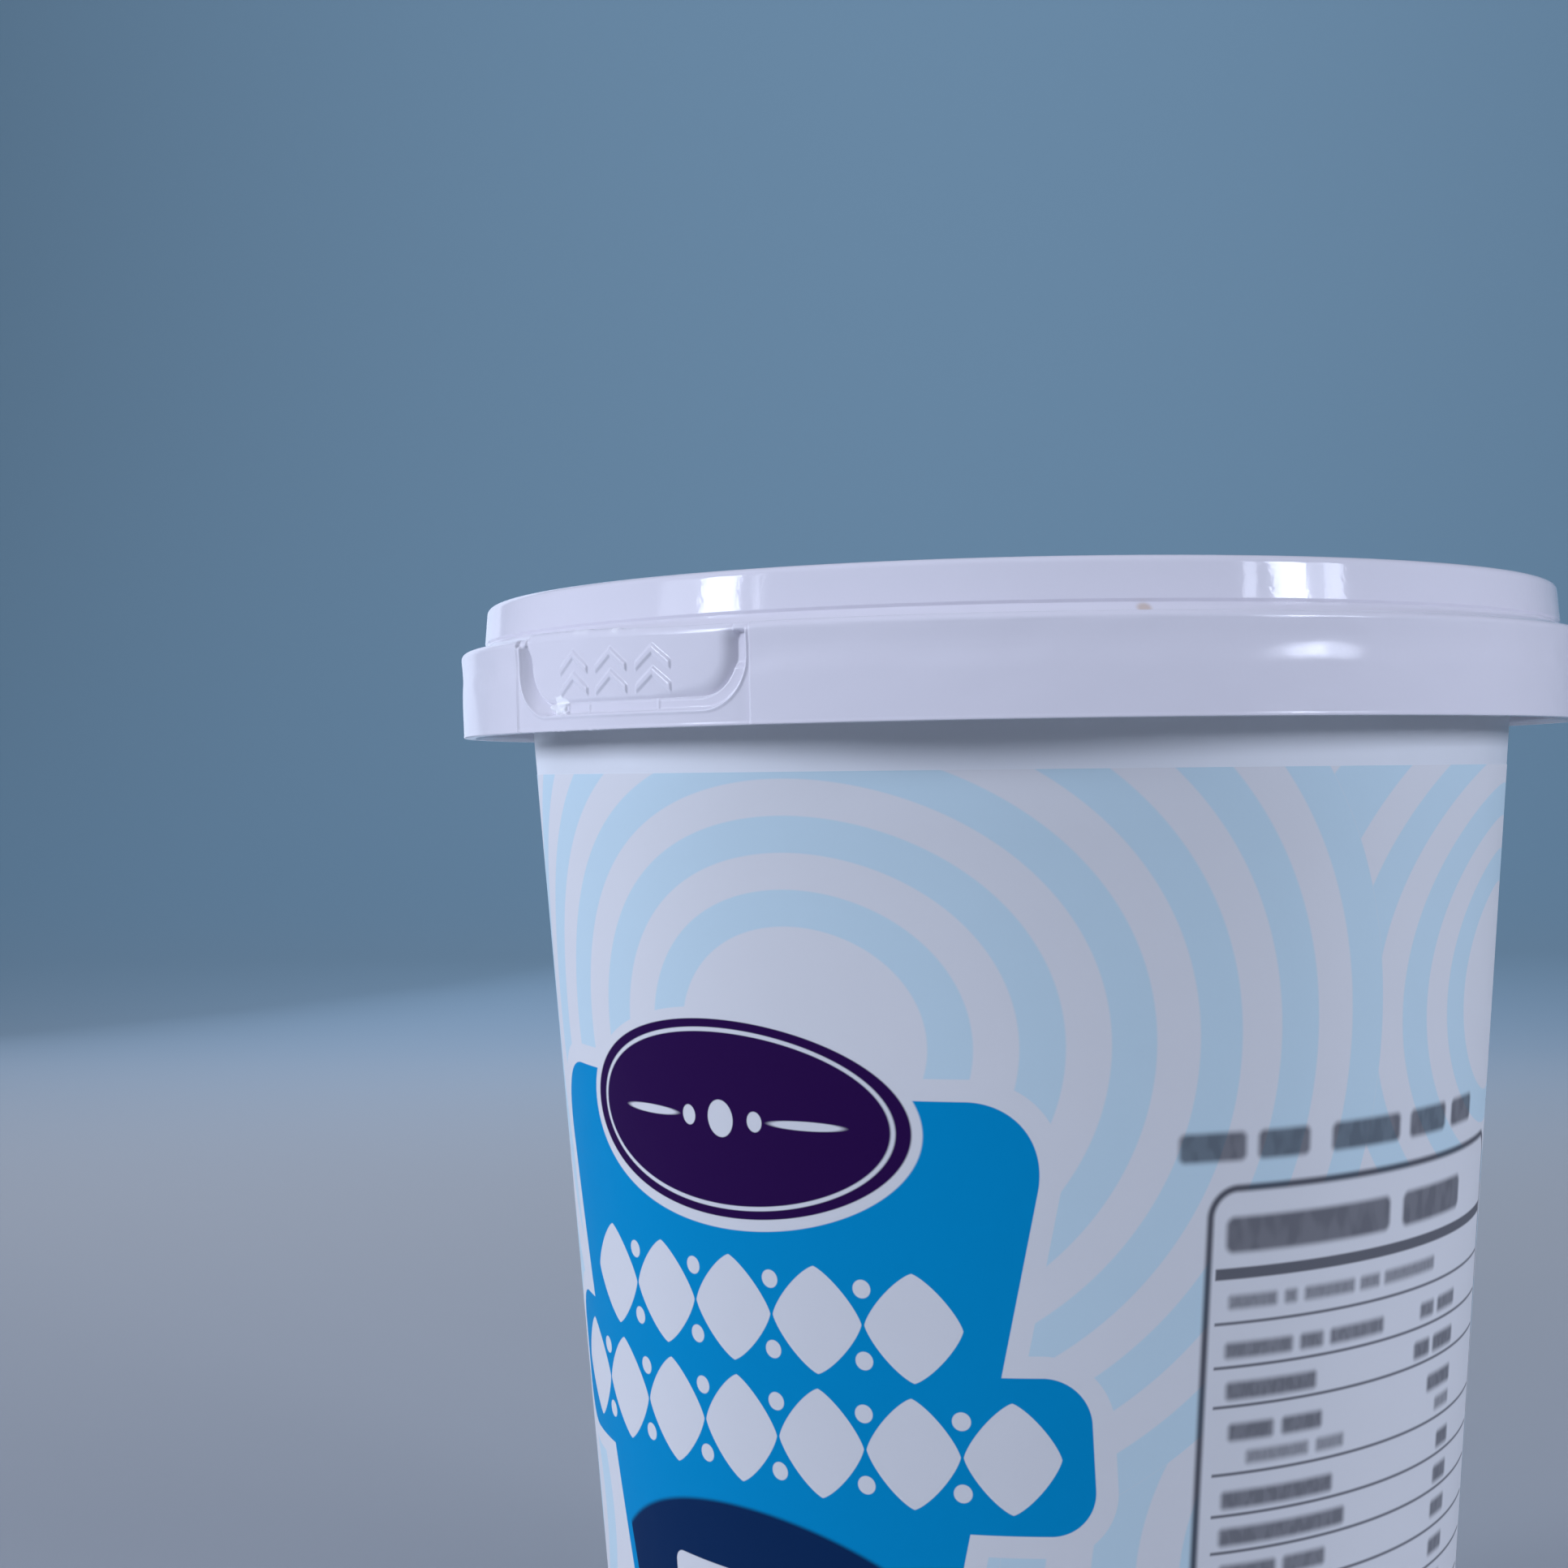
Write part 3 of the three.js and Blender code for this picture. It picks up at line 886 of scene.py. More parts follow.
# The lid's section turned about Z: from under the disc's middle out over the rim's channel, down
# past the snap bead, up the skirt's outside to the ledge, up over the ring and in to the middle
def makeLidTop():
    under = lid["discTop"] - lid["discWall"]
    channelInner = tub["rimRadius"] - tub["rimWidth"] - lid["fitGap"]
    channelOuter = tub["rimRadius"] + lid["fitGap"]
    channelTop = tub["rimTop"] + lid["fitGap"]
    skirtFoot = totalHeight - lid["skirtDrop"]
    beadTop = tub["rimFoot"] + lid["snapRise"]
    ledge = totalHeight - lid["ledgeDrop"]
    ledgeUnder = totalHeight - lid["ledgeUnderDrop"]
    middleTop = lid["discTop"] + lid["stepHeight"]
    dishRadius, dishSlope, dishDepth = lid["dish"]
    pinRadius, pinSlope, pinHeight = lid["pin"]
    corners = [
        ((0, under), 0), ((channelInner, under), 0.3), ((channelInner, channelTop), 0.3),
        ((channelOuter, channelTop), 0.3), ((channelOuter, beadTop + lid["snapHeight"]), 0.2),
        ((lid["snapRadius"], beadTop), 0.2),
        ((lid["snapRadius"], beadTop - lid["snapHeight"]), 0.2),
        ((channelOuter, skirtFoot), 0.15), ((lid["skirtOuterRadius"], skirtFoot), 0.15),
        ((lid["skirtOuterRadius"], ledgeUnder), 0.3), ((lid["slopeRadius"], ledgeUnder), 0),
        ((lid["slopeRadius"], ledge), 0.06),
        ((lid["coveRadius"], totalHeight - lid["slopeDrop"]), 0.10),
        ((lid["ringFootRadius"], totalHeight - lid["coveDrop"]), 0.12),
        ((lid["ringTopRadius"], totalHeight), lid["ringRound"]),
        ((lid["ringInnerRadius"], totalHeight), lid["ringRound"]),
        ((lid["ringInnerRadius"], lid["discTop"]), 0.5),
        ((lid["stepRadius"] + lid["stepHeight"], lid["discTop"]), 0.3),
        ((lid["stepRadius"], middleTop), 0.3),
        ((dishRadius, middleTop), 0.15), ((dishRadius - dishSlope, middleTop - dishDepth), 0.15),
        ((pinRadius + pinSlope, middleTop - dishDepth), 0.1),
        ((pinRadius, middleTop + pinHeight), 0.1), ((0, middleTop + pinHeight), 0),
    ]
    profile = roundedProfile([c for c, _ in corners], [s for _, s in corners], steps=6)
    angles = np.arange(lid["columns"]) * 360 / lid["columns"]
    return surfacePiece("lidTop", turnedGrid(profile, angles))[0]


# Lid: hanging band with the sunk panel and the tear tab

# Pairs named drops, spans or limits are where a smooth step starts and ends, in millimetres
band = {
    "radius": 60.0,
    "footRadius": 59.85,
    "topRound": 0.6,
    "topDrop": 4.84,
    "footDrop": 13.75,
    "innerRadius": 58.7,
    "innerDrops": (13.2, 12.9, 12.6, 12.0, 11.0, 10.0, 9.0, 8.0, 7.0),  # rows up the inside
    "ledgeRows": [(58.6, 4.81), (59.2, 4.83)],  # radius and drop of two rows on the ledge
    "ledgeTuck": 0.1,  # the ledge starts this far inside the lid's top
    "edgeRound": 0.12,
    "wallDrops": (-0.05, 0.25),  # from the top's rounding, over which ledge becomes face
    "extraRoughness": 0.09,  # its gloss is softer than the lid's top
    "sinkDepth": 0.083,  # shrinkage where the ledge meets the wall inside
    "sinkDrops": (5.3, 7.2),
    "sinkWaves": (7, 11, 17, 24, 41, 67),
    "sinkChange": 0.5,  # share by which the waves change the depth
    "sinkDrop": 8.45,  # the middle of the drops over which the face comes back out
    "sinkReturn": 1.0,
    "wanderWaves": (19, 31, 53, 79),
    "wander": 0.35,  # and how far they shift that middle
    "unevenness": 0.02,
    "unevenWaves": (13, 19, 26, 35, 46, 58),
    "footBead": 0.02,
    "footBeadDrops": (13.40, 13.58),
    "fineStep": 0.085,  # spacing of the grid over the tab's panel
    "coarseStep": 1.2,  # degrees between columns elsewhere
    "reach": 16.1,  # half the width of the finely divided part
}
tab = {
    "angle": -36.7,
    "panelHalfWidth": 15.4,
    "panelDepth": 0.45,
    "panelSoft": (0.32, 0.12),  # half the width of its left and right slopes
    "leftRise": 0.25,  # the panel is this much shallower at its left end
    "leftRiseSpan": (-12.6, -15.0),
    "ridge": (0.05, 0.1, 0.14),  # left of the panel: height, distance and width
    "slotHalfWidth": 14.75,
    "slotTopDrop": 5.5,
    "slotFootDrop": 12.15,
    "slotCorner": 4.3,
    "slotFloorRadius": 58.5,
    "slotRound": (0.22, 0.16),  # width and depth of the rounding of the slot's edge
    "slotRoundDrops": (4.9, 5.6),
    "slotOpenDrops": (5.6, 5.0),  # above these only the tab is cut back, not the slot
    "backRadius": 58.95,
    "backPlaces": (-9.7, 15.6),
    "backTopDrop": 8.5,
    "backSoft": 0.3,
    "halfWidth": 13.7,
    "footDrop": 11.2,
    "corner": 3.8,
    "depth": 0.75,
    "sideLimits": (1.2, 0.9),  # beyond the tab's half width, where it ends
    "ledgeSides": (0.5, 0.15),  # the ledge's cut reaches this far beyond its left, and softness
    "edgeSoft": 0.09,
    "flare": 0.8,  # the tab's top left widens by this
    "flareDrops": (7.2, 5.2),
    "flareSpan": (0, -8),
    "rightSpan": (4, 13),
    "roundWidth": (0.55, 1.25),  # of the tab's edge at the left, and what the right adds
    "roundDepth": (0.35, 0.45),
    "roundPower": 2.2,
    "roundDrops": (4.9, 6.4),
    "faceWaves": (0.015, 6.0),  # height and length
    "lean": 0.03,
    "webDrop": 6.3,
    "webSpan": (-0.6, -0.2),  # from the tab's right edge
    "webSoft": 0.25,
    "webSink": 1.5,
    "bridges": (-7.2, -4.0, 5.2),
    "bridgeHalf": 0.12,
    "bridgeSoft": 0.16,
    "bridgeRise": 0.8,
    "bridgeSink": 0.95,
    "slantWidth": 0.95,
    "slantSpan": (-9, -12),
    "lipHeight": 0.12,
    "lip": (0.25, 0.16),  # distance from the slot, and width
}
tornBridge = {
    "place": (-8.5, 11.5),
    "reach": 1.25,
    "flatness": 1.2,
    "edge": (-0.15, 0.25),
    "raggedness": 0.28,
    "ragLength": 0.9,
    "sink": 0.7,
    "relief": 0.3,
}
topEdge = {
    "lift": 0.42,  # how far the torn top edge of the tab is pulled up at its left
    "liftSpan": (9.0, -9.0),
    "liftDrops": (6.2, 5.0),
    "liftRadii": (58.5, 59.1),
    "sides": (0.4, 0.3),  # reach beyond the tab's left, and softness
    "rag": 0.05,
    "ragLength": 1.9,
    "ragSpan": (-9.5, 4.5, 1.2),  # left, right and softness
    "ragDrops": (5.5, 5.1),
    "whitening": 0.6,
}
footFlash = {"height": 0.05, "length": 1.3, "span": (-9.5, 1.5, 0.6), "rise": 0.6}
innerPocket = {"growth": 0.5, "topDrop": 5.0, "footGrowth": 0.35, "soft": 0.3, "radius": 57.0}
chevrons = {"places": (-6.1, -0.7, 4.7), "halfWidth": 2.1, "topDrop": 6.3, "pitch": 2.0,
            "steepness": 0.72, "thick": 0.75, "height": 0.16, "soft": 0.2, "endSoft": 0.1}
seeds = {"sink": 5, "wander": 8, "uneven": 6, "face": 3, "torn": 11, "top": 21, "foot": 33}


# Signed distance to an outline with a straight top and two round lower corners
def pouchDistance(across, drop, half, top, foot, corner):
    overX = np.abs(across) - half + corner
    overY = drop - foot + corner
    outside = np.hypot(np.maximum(overX, 0), np.maximum(overY, 0))
    lower = outside + np.minimum(np.maximum(overX, overY), 0) - corner
    return np.maximum(lower, top - drop)


# 1 within the span of the two limits, with soft ends
def within(value, low, high, soft):
    return smoothStep(low - soft, low + soft, value) * smoothStep(high + soft, high - soft, value)


# The drafted wall: sunk in by a smooth step below the ledge and back out lower down, with gentle
# waves and a fine bead at its foot
def plainFace(turn, drop):
    fall = (drop - band["topDrop"] - band["topRound"]) / (band["footDrop"] - band["topDrop"])
    face = band["radius"] - (band["radius"] - band["footRadius"]) * np.clip(fall, 0, 1)
    change = roundWaves(turn, 0 * drop, band["sinkWaves"], seeds["sink"])
    sink = band["sinkDepth"] * (1 + band["sinkChange"] * change)
    wander = roundWaves(turn, 0 * drop, band["wanderWaves"], seeds["wander"])
    low = drop - band["sinkDrop"] + band["wander"] * wander
    back = smoothStep(-band["sinkReturn"], band["sinkReturn"], low)
    face = face + sink * (back - smoothStep(*band["sinkDrops"], drop))
    waves = roundWaves(turn, drop, band["unevenWaves"], seeds["uneven"])
    face = face + band["unevenness"] * waves
    return face + band["footBead"] * smoothStep(*band["footBeadDrops"], drop)


# The tab's face, rounded over widely at its right and narrowly elsewhere, leaning in downwards,
# with each chevron two raised strokes whose drop grows with the distance from its middle
def tabRelief(across, drop, pad):
    rightShare = smoothStep(*tab["rightSpan"], across)
    narrow, wider = tab["roundWidth"]
    shallow, deeper = tab["roundDepth"]
    sunk = np.clip(1 + pad / (narrow + wider * rightShare), 0, 1) ** tab["roundPower"]
    sunk = sunk * smoothStep(*tab["roundDrops"], drop)
    face = band["radius"] - tab["depth"] - (shallow + deeper * rightShare) * sunk
    waveHeight, waveLength = tab["faceWaves"]
    face = face + waveHeight * gentleNoise(across, drop, waveLength, seeds["face"])
    face = face - tab["lean"] * (drop - chevrons["topDrop"])
    half, endSoft = chevrons["halfWidth"], chevrons["endSoft"]
    for place in chevrons["places"]:
        away = np.abs(across - place)
        along = drop - chevrons["topDrop"] - chevrons["steepness"] * away
        stroke = within(along, 0.0, chevrons["thick"], chevrons["soft"])
        stroke = stroke + within(
            along - chevrons["pitch"], 0.0, chevrons["thick"], chevrons["soft"])
        stroke = stroke * smoothStep(half + endSoft, half - endSoft, away)
        face = face + chevrons["height"] * stroke
    return face


# The floor of the slot with the nearer wall behind the tab's foot, and what spans the slot: the
# bridges, the torn bridge and the web at the tab's right. Also gives where it is torn.
def slotRelief(across, drop):
    soft = tab["backSoft"]
    behind = within(across, *tab["backPlaces"], soft) * smoothStep(
        tab["backTopDrop"] - soft, tab["backTopDrop"] + soft, drop)
    wall = tab["slotFloorRadius"] + (tab["backRadius"] - tab["slotFloorRadius"]) * behind
    spans = np.zeros_like(wall)
    for place in tab["bridges"]:
        spans = np.maximum(spans, within(
            across, place - tab["bridgeHalf"], place + tab["bridgeHalf"], tab["bridgeSoft"]))
    spans = spans * smoothStep(tab["footDrop"] - tab["bridgeRise"], tab["footDrop"], drop)
    rough = gentleNoise(across, drop, tornBridge["ragLength"], seeds["torn"])
    tornAcross, tornDrop = tornBridge["place"]
    torn = tornBridge["reach"] - np.hypot(
        across - tornAcross, (drop - tornDrop) * tornBridge["flatness"])
    torn = smoothStep(*tornBridge["edge"], torn + tornBridge["raggedness"] * rough)
    webStart, webEnd = tab["webSpan"]
    web = smoothStep(tab["halfWidth"] + webStart, tab["halfWidth"] + webEnd, across)
    web = web * smoothStep(tab["webDrop"] + tab["webSoft"], tab["webDrop"] - tab["webSoft"], drop)
    tornRadius = band["radius"] - tornBridge["sink"] + tornBridge["relief"] * rough
    wall = wall + (band["radius"] - tab["bridgeSink"] - wall) * spans
    wall = wall + (tornRadius - wall) * torn
    wall = wall + (band["radius"] - tab["webSink"] - wall) * web
    return wall, torn


# How far each point of the band's outer face lies from the axis: the wall, sunk in the panel and
# again at the tab, cut deep in the slot round the tab, whose left wall slants in
def bandFace(across, drop, turn):
    face = plainFace(turn, drop)
    half, (leftSoft, soft) = tab["panelHalfWidth"], tab["panelSoft"]
    inPanel = smoothStep(-half - leftSoft, -half + leftSoft, across)
    inPanel = inPanel * smoothStep(half + soft, half - soft, across)
    depth = tab["panelDepth"] - tab["leftRise"] * smoothStep(*tab["leftRiseSpan"], across)
    face = face - depth * inPanel
    ridgeHeight, ridgeAway, ridgeWidth = tab["ridge"]
    face = face + ridgeHeight * np.exp(-((across + half + ridgeAway) / ridgeWidth) ** 2)
    flare = tab["flare"] * smoothStep(*tab["flareDrops"], drop)
    flare = flare * smoothStep(*tab["flareSpan"], across)
    slot = pouchDistance(across, drop, tab["slotHalfWidth"], tab["slotTopDrop"],
                         tab["slotFootDrop"], tab["slotCorner"])
    pad = pouchDistance(across + flare / 2, drop, tab["halfWidth"] + flare / 2, 0,
                        tab["footDrop"], tab["corner"])
    lipAway, lipWidth = tab["lip"]
    face = face + tab["lipHeight"] * np.exp(-((slot - lipAway) / lipWidth) ** 2) * inPanel
    roundWidth, roundDepth = tab["slotRound"]
    face = face - roundDepth * smoothStep(roundWidth, 0.0, slot) * smoothStep(
        *tab["slotRoundDrops"], drop)
    wall, torn = slotRelief(across, drop)
    slant = smoothStep(*tab["slantSpan"], across)
    wall = wall + (face - wall) * slant * np.clip(1 + slot / tab["slantWidth"], 0, 1)
    edge = tab["edgeSoft"]
    sideStart, sideEnd = tab["sideLimits"]
    inSlot = smoothStep(edge, -edge, slot)
    onTab = smoothStep(edge, -edge, pad) * smoothStep(
        tab["halfWidth"] + sideStart, tab["halfWidth"] + sideEnd, np.abs(across))
    sunkFace = wall + (tabRelief(across, drop, pad) - wall) * onTab
    pocket = inSlot + (onTab - inSlot) * smoothStep(*tab["slotOpenDrops"], drop)
    return face + (sunkFace - face) * pocket, torn * inSlot


# Radius at which the ledge turns down: less over the panel, and less again over the tab
def bandEdge(across):
    leftReach, soft = tab["ledgeSides"]
    inPanel = within(across, -tab["panelHalfWidth"], tab["panelHalfWidth"], tab["panelSoft"][1])
    onTab = within(across, -tab["halfWidth"] - leftReach, tab["halfWidth"], soft)
    return band["radius"] - tab["panelDepth"] * inPanel - (tab["depth"] - tab["panelDepth"]) * onTab


# Rows follow the band's section out along the ledge, down the face, round the foot and up
# inside. Columns go round, close together over the panel.
def makeLidBand():
    outer = band["topDrop"] + band["topRound"]
    footTop = band["footDrop"] - band["edgeRound"]
    wallRows = int((footTop - outer) / band["fineStep"])
    ledgeStart = lid["slopeRadius"] - band["ledgeTuck"]
    topArc = arcPoints(band["radius"] - band["topRound"], -outer, band["topRound"], 90, 0, 8)
    topArc[:, 1] *= -1
    rows = np.concatenate([
        [(ledgeStart, lid["ledgeUnderDrop"]), (ledgeStart, lid["ledgeDrop"])],
        band["ledgeRows"],
        topArc,
        np.stack([np.full(wallRows, band["radius"]),
                  np.linspace(outer, footTop, wallRows + 1)[1:]], axis=1),
    ])
    span = math.degrees(math.asin(band["reach"] / band["radius"]))
    fineCount = int(2 * band["reach"] / band["fineStep"])
    coarseCount = int((360 - 2 * span) / band["coarseStep"])
    fine = np.linspace(-span, span, fineCount + 1)
    coarse = np.linspace(span, 360 - span, coarseCount + 1)[1:-1]
    turn = np.concatenate([fine, coarse])
    across = band["radius"] * np.sin(np.radians(turn))
    farAway = 100.0  # stands for the distance across on the far side
    across = np.where(np.cos(np.radians(turn)) > 0, across, farAway)[None, :]
    drop = rows[:, 1:] + 0 * across
    faceRadius, torn = bandFace(across, drop, turn[None, :])
    share = (rows[:, :1] - lid["slopeRadius"]) / (band["radius"] - lid["slopeRadius"])
    ledgeRadius = lid["slopeRadius"] + share * (bandEdge(across) - lid["slopeRadius"])
    wallStart, wallEnd = band["wallDrops"]
    onWall = smoothStep(outer + wallStart, outer + wallEnd, drop)
    radius = ledgeRadius + (faceRadius - ledgeRadius) * onWall
    # the tab's top edge, torn and pulled up towards its left
    sideReach, sideSoft = topEdge["sides"]
    nearTab = within(across, -tab["halfWidth"] - sideReach, tab["halfWidth"], sideSoft)
    lift = topEdge["lift"] * smoothStep(*topEdge["liftSpan"], across) * nearTab
    ragged = gentleNoise(across, 0 * drop, topEdge["ragLength"], seeds["top"])
    ragged = ragged * within(across, *topEdge["ragSpan"])
    edgeOnly = smoothStep(*topEdge["ragDrops"], drop)
    lift = lift + topEdge["rag"] * ragged * nearTab * edgeOnly
    upper = smoothStep(*topEdge["liftDrops"], drop)
    upper = upper * smoothStep(*topEdge["liftRadii"], rows[:, :1])
    height = totalHeight - drop + lift * upper
    # a moulded edge is never quite straight: the foot hangs a little lower in places at the tab
    flash = np.maximum(gentleNoise(across, 0 * drop, footFlash["length"], seeds["foot"]), 0)
    flash = footFlash["height"] * flash * within(across, *footFlash["span"])
    height = height - flash * smoothStep(footTop - footFlash["rise"], footTop, drop)
    # foot and inner face
    footArc = np.radians(np.linspace(0, 90, 4)[1:])[:, None]
    bend = band["edgeRound"]
    footRadius = radius[-1:] - bend + bend * np.cos(footArc)
    footHeight = totalHeight - footTop - bend * np.sin(footArc) - flash[-1:]
    innerDrops = [band["footDrop"], *band["innerDrops"], lid["ledgeUnderDrop"]]
    innerDrops = np.array(innerDrops)[:, None] + 0 * across
    slotInside = pouchDistance(
        across, innerDrops, tab["slotHalfWidth"] + innerPocket["growth"], innerPocket["topDrop"],
        tab["slotFootDrop"] + innerPocket["footGrowth"], tab["slotCorner"])
    pocketDepth = smoothStep(innerPocket["soft"], 0.0, slotInside)
    innerRadius = band["innerRadius"] - (
        band["innerRadius"] - innerPocket["radius"]) * pocketDepth
    grid = np.concatenate([
        np.stack([radius, height], axis=-1),
        np.stack([footRadius, footHeight], axis=-1),
        np.stack([innerRadius, totalHeight - innerDrops], axis=-1),
    ])
    angle = np.radians(tab["angle"] + turn)[None, :]
    radius, height = grid[..., 0], grid[..., 1]
    points = np.stack([radius * np.sin(angle), -radius * np.cos(angle), height], axis=-1)
    piece, used = surfacePiece("lidBand", points, closedProfile=True, flipped=True)
    frayed = topEdge["whitening"] * np.clip(ragged, 0, 1) * nearTab * upper * edgeOnly
    whitened = np.concatenate([
        np.maximum(torn, frayed), np.zeros((len(grid) - len(torn), torn.shape[1]))])
    layer = piece.data.attributes.new("torn", "FLOAT", "POINT")
    layer.data.foreach_set("value", whitened.ravel()[used].astype(np.float32))
    return piece


# Glossy white moulding. A band turns whiter and rougher where it is torn, and the lid's top has
# the moulding's gate mark.
def makeLidPlastic(name, withTorn, finish):
    material, tree, shader, place = newMaterial(name)
    tone, skin = addSkin(tree, place, lid["plasticTone"], finish)
    rough = skin["Roughness"]
    if withTorn:
        attribute = tree.nodes.new("ShaderNodeAttribute")
        attribute.attribute_name = "torn"
        torn = Signal(attribute, "Fac")
        tone = mixed(tree, torn, tone, lid["tornTone"])
        rough = rough + torn * lid["tornRoughness"]
    else:
        angle, drop, radius = lid["gateMark"]
        turn = math.radians(angle)
        away = tree.nodes.new("ShaderNodeVectorMath")
        away.operation = "DISTANCE"
        feedAll(away, {0: place, 1: (
            radius * math.sin(turn) * millimetre, -radius * math.cos(turn) * millimetre,
            (totalHeight - drop) * millimetre)})
        near = ranged(Signal(away, "Value"), *lid["gateReach"], lid["gateStrength"], 0.0)
        tone = mixed(tree, near, tone, lid["gateTone"])
    fillShader(shader, tone, rough, skin["Height"], finish)
    return material


bandFinish = {**lid["finish"], "roughness": lid["finish"]["roughness"] + band["extraRoughness"]}
placePiece(makeLidTop(), "lid", makeLidPlastic("lidPlastic", False, lid["finish"]))
placePiece(makeLidBand(), "lid", makeLidPlastic("bandPlastic", True, bandFinish))
print("lid built")


# Floor, light and camera

studio = {
    "floorTone": (0.38, 0.405, 0.43, 1.0),
    "wallTone": (0.20, 0.335, 0.46, 1.0),
    "toneChange": (0.30, 1.05),  # metres behind the cup over which floor tone becomes wall tone
    "front": -1.6,
    "back": 1.5,
    "bendRadius": 0.8,
    "wallTop": 2.6,
    "halfWidth": 2.6,
    "skyTone": (0.60, 0.70, 0.90, 1.0),
    "skyStrength": 0.07,
    "wallLightPlace": (0.0, 0.30, 1.10),
    "wallLightSize": (1.6, 0.5),
    "wallLightWatts": 9.0,
    "wallLightTilt": 80.0,  # degrees up from straight down
    "overheadAim": 0.1,
    "driftScale": 3.0,
    "driftTone": 0.97,  # of the floor's tone, where it drifts darker
    "roughness": 0.8,
}
# Soft lights: degrees round from the front, metres away, height, width, tall, watts, and
# whether the gloss mirrors them
lightTone = (0.763, 0.820, 1.0)
softLights = [
    ("leftStrip", -58.0, 0.70, 0.31, 0.100, 0.175, 0.85, True),
    ("leftWing", -67.6, 0.72, 0.31, 0.130, 0.175, 0.14, True),
    ("leftSliver", -49.7, 0.70, 0.31, 0.020, 0.175, 0.05, True),
    ("leftRim", -152.0, 0.90, 0.32, 0.50, 0.50, 0.6, True),
    ("rightStrip", 55.3, 0.75, 0.31, 0.090, 0.170, 0.90, True),
    ("rightInnerWing", 47.0, 0.75, 0.31, 0.048, 0.170, 0.17, True),
    ("rightOuterWing", 62.6, 0.75, 0.31, 0.125, 0.170, 0.26, True),
    ("rightSliver", 65.2, 0.76, 0.31, 0.055, 0.170, 0.15, True),
    ("leftFill", -71.0, 0.90, 0.33, 0.50, 0.20, 6.2, False),
    ("rightFill", 60.0, 0.90, 0.33, 0.50, 0.20, 3.4, False),
    ("backFill", 180.0, 0.90, 0.45, 0.60, 0.30, 3.0, False),
    ("overhead", 0.0, 0.30, 1.20, 1.00, 1.00, 3.9, False),
]


# The floor runs back, bends up through a quarter circle and becomes the backdrop
def makeStudioSweep():
    bend = studio["bendRadius"]
    curve = arcPoints(studio["back"] - bend, bend, bend, -90, 0, 24)
    line = np.concatenate([[(studio["front"], 0.0)], curve, [(studio["back"], studio["wallTop"])]])
    sides = np.array([-studio["halfWidth"], studio["halfWidth"]])
    grid = np.stack([
        np.broadcast_to(sides[None, :], (len(line), 2)),
        np.broadcast_to(line[:, :1], (len(line), 2)),
        np.broadcast_to(line[:, 1:], (len(line), 2))], axis=-1) / millimetre
    sweep, _ = surfacePiece("studioSweep", grid, closedRound=False)
    material, tree, shader, place = newMaterial("paleFloor")
    darker = [studio["driftTone"] * part for part in studio["floorTone"][:3]]
    tone = mixed(tree, noiseValue(place, studio["driftScale"]), studio["floorTone"],
                 (*darker, 1.0))
    wallShare = ranged(separated(place)[1], *studio["toneChange"], 0.0, 1.0)
    tone = mixed(tree, wallShare, tone, studio["wallTone"])
    feedAll(shader, {"Base Color": tone, "Roughness": studio["roughness"]})
    sweep.data.materials.append(material)


def addAreaLight(name, size, watts, place, turn):
    data = bpy.data.lights.new(name, "AREA")
    data.shape = "RECTANGLE"
    data.size, data.size_y = size
    data.energy = watts
    light = bpy.data.objects.new(name, data)
    light.location = place
    light.rotation_euler = turn
    bpy.context.scene.collection.objects.link(light)
    return light


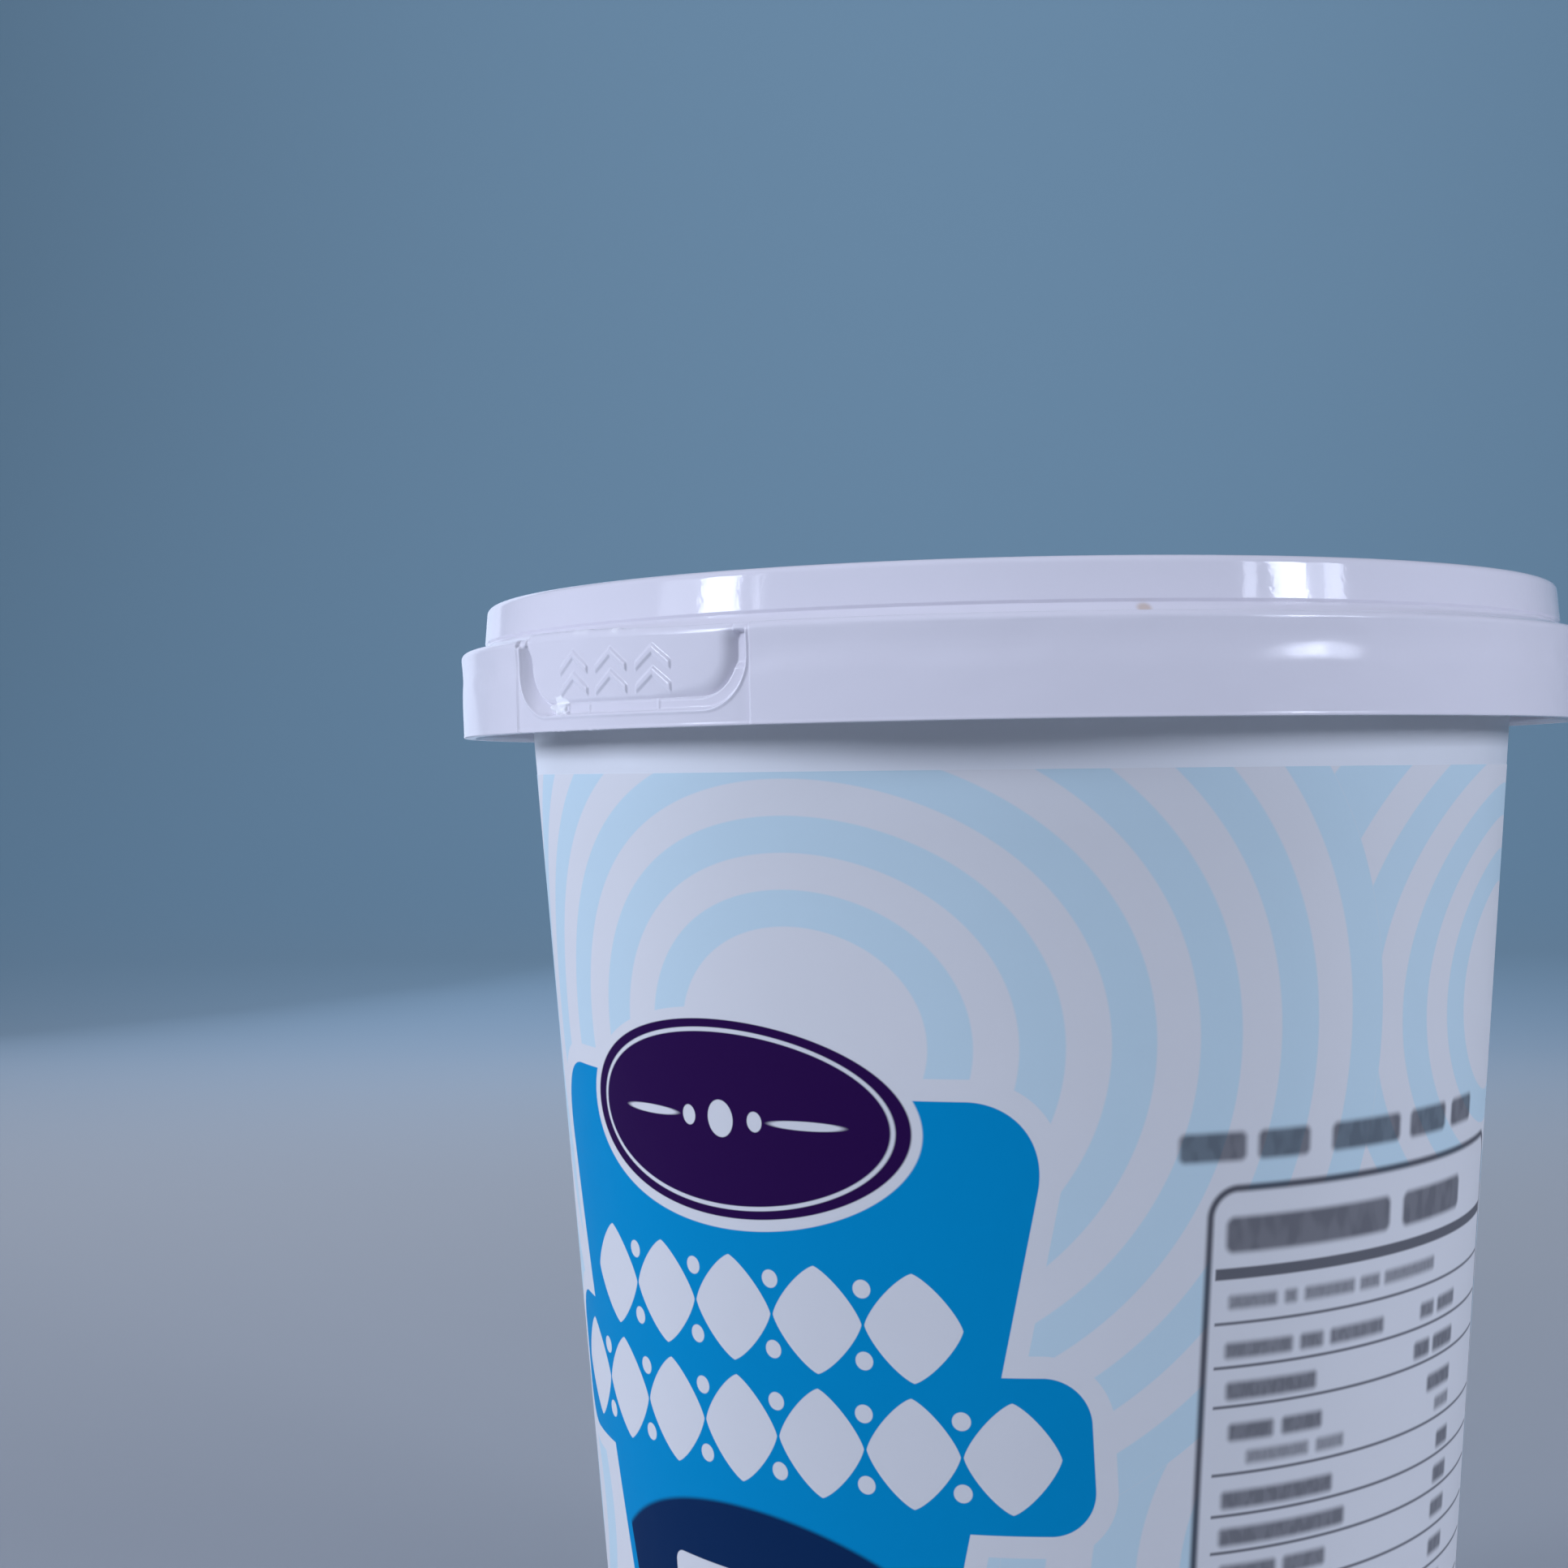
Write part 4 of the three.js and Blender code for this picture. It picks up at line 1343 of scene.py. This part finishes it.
# Each soft light faces the cup's axis: level ones straight, the overhead one down at its aim
def makeSoftLights():
    for name, turn, away, height, width, tall, watts, mirrored in softLights:
        angle = math.radians(turn)
        place = Vector((away * math.sin(angle), -away * math.cos(angle), height))
        aim = Vector((0.0, 0.0, studio["overheadAim"])) - place
        if name != "overhead":
            aim.z = 0.0
        light = addAreaLight(
            name, (width, tall), watts, place, aim.to_track_quat("-Z", "Y").to_euler())
        light.data.color = lightTone
        light.visible_glossy = mirrored
        light.visible_camera = False
    wallLight = addAreaLight(
        "wallLight", studio["wallLightSize"], studio["wallLightWatts"],
        studio["wallLightPlace"], (math.radians(studio["wallLightTilt"]), 0.0, 0.0))
    wallLight.visible_glossy = False
    world = bpy.data.worlds.new("softRoom")
    world.use_nodes = True
    sky = world.node_tree.nodes["Background"]
    feedAll(sky, {"Color": studio["skyTone"], "Strength": studio["skyStrength"]})
    bpy.context.scene.world = world


camera = {
    "place": (0.0, -0.23636, 0.12397),
    "yaw": -0.10657,
    "pitch": 0.00473,
    "roll": -0.01505,
    "focalPixels": 2610.22,
    "sensor": 36.0,
    "nearest": 0.01,
}


# The level view is turned by yaw about Z, then down by pitch, then round the view line by roll
def makeCamera():
    data = bpy.data.cameras.new("camera")
    data.sensor_width = camera["sensor"]
    data.lens = camera["sensor"] * camera["focalPixels"] / photoPixels
    data.clip_start = camera["nearest"]
    data.dof.use_dof = False
    view = bpy.data.objects.new("camera", data)
    yaw, pitch, roll = camera["yaw"], camera["pitch"], camera["roll"]
    ahead = np.array([math.sin(yaw), math.cos(yaw), 0.0])
    right = np.array([math.cos(yaw), -math.sin(yaw), 0.0])
    up = np.array([0.0, 0.0, 1.0])
    aheadDown = math.cos(pitch) * ahead - math.sin(pitch) * up
    upDown = math.cos(pitch) * up + math.sin(pitch) * ahead
    rightTurned = math.cos(roll) * right + math.sin(roll) * upDown
    upTurned = -math.sin(roll) * right + math.cos(roll) * upDown
    frameOfView = np.eye(4)
    frameOfView[:3, 0] = rightTurned
    frameOfView[:3, 1] = upTurned
    frameOfView[:3, 2] = -aheadDown
    frameOfView[:3, 3] = camera["place"]
    view.matrix_world = Matrix(frameOfView.tolist())
    bpy.context.scene.collection.objects.link(view)
    bpy.context.scene.camera = view


makeStudioSweep()
makeSoftLights()
makeCamera()
bpy.context.scene.view_settings.view_transform = "Standard"
print("studio set")
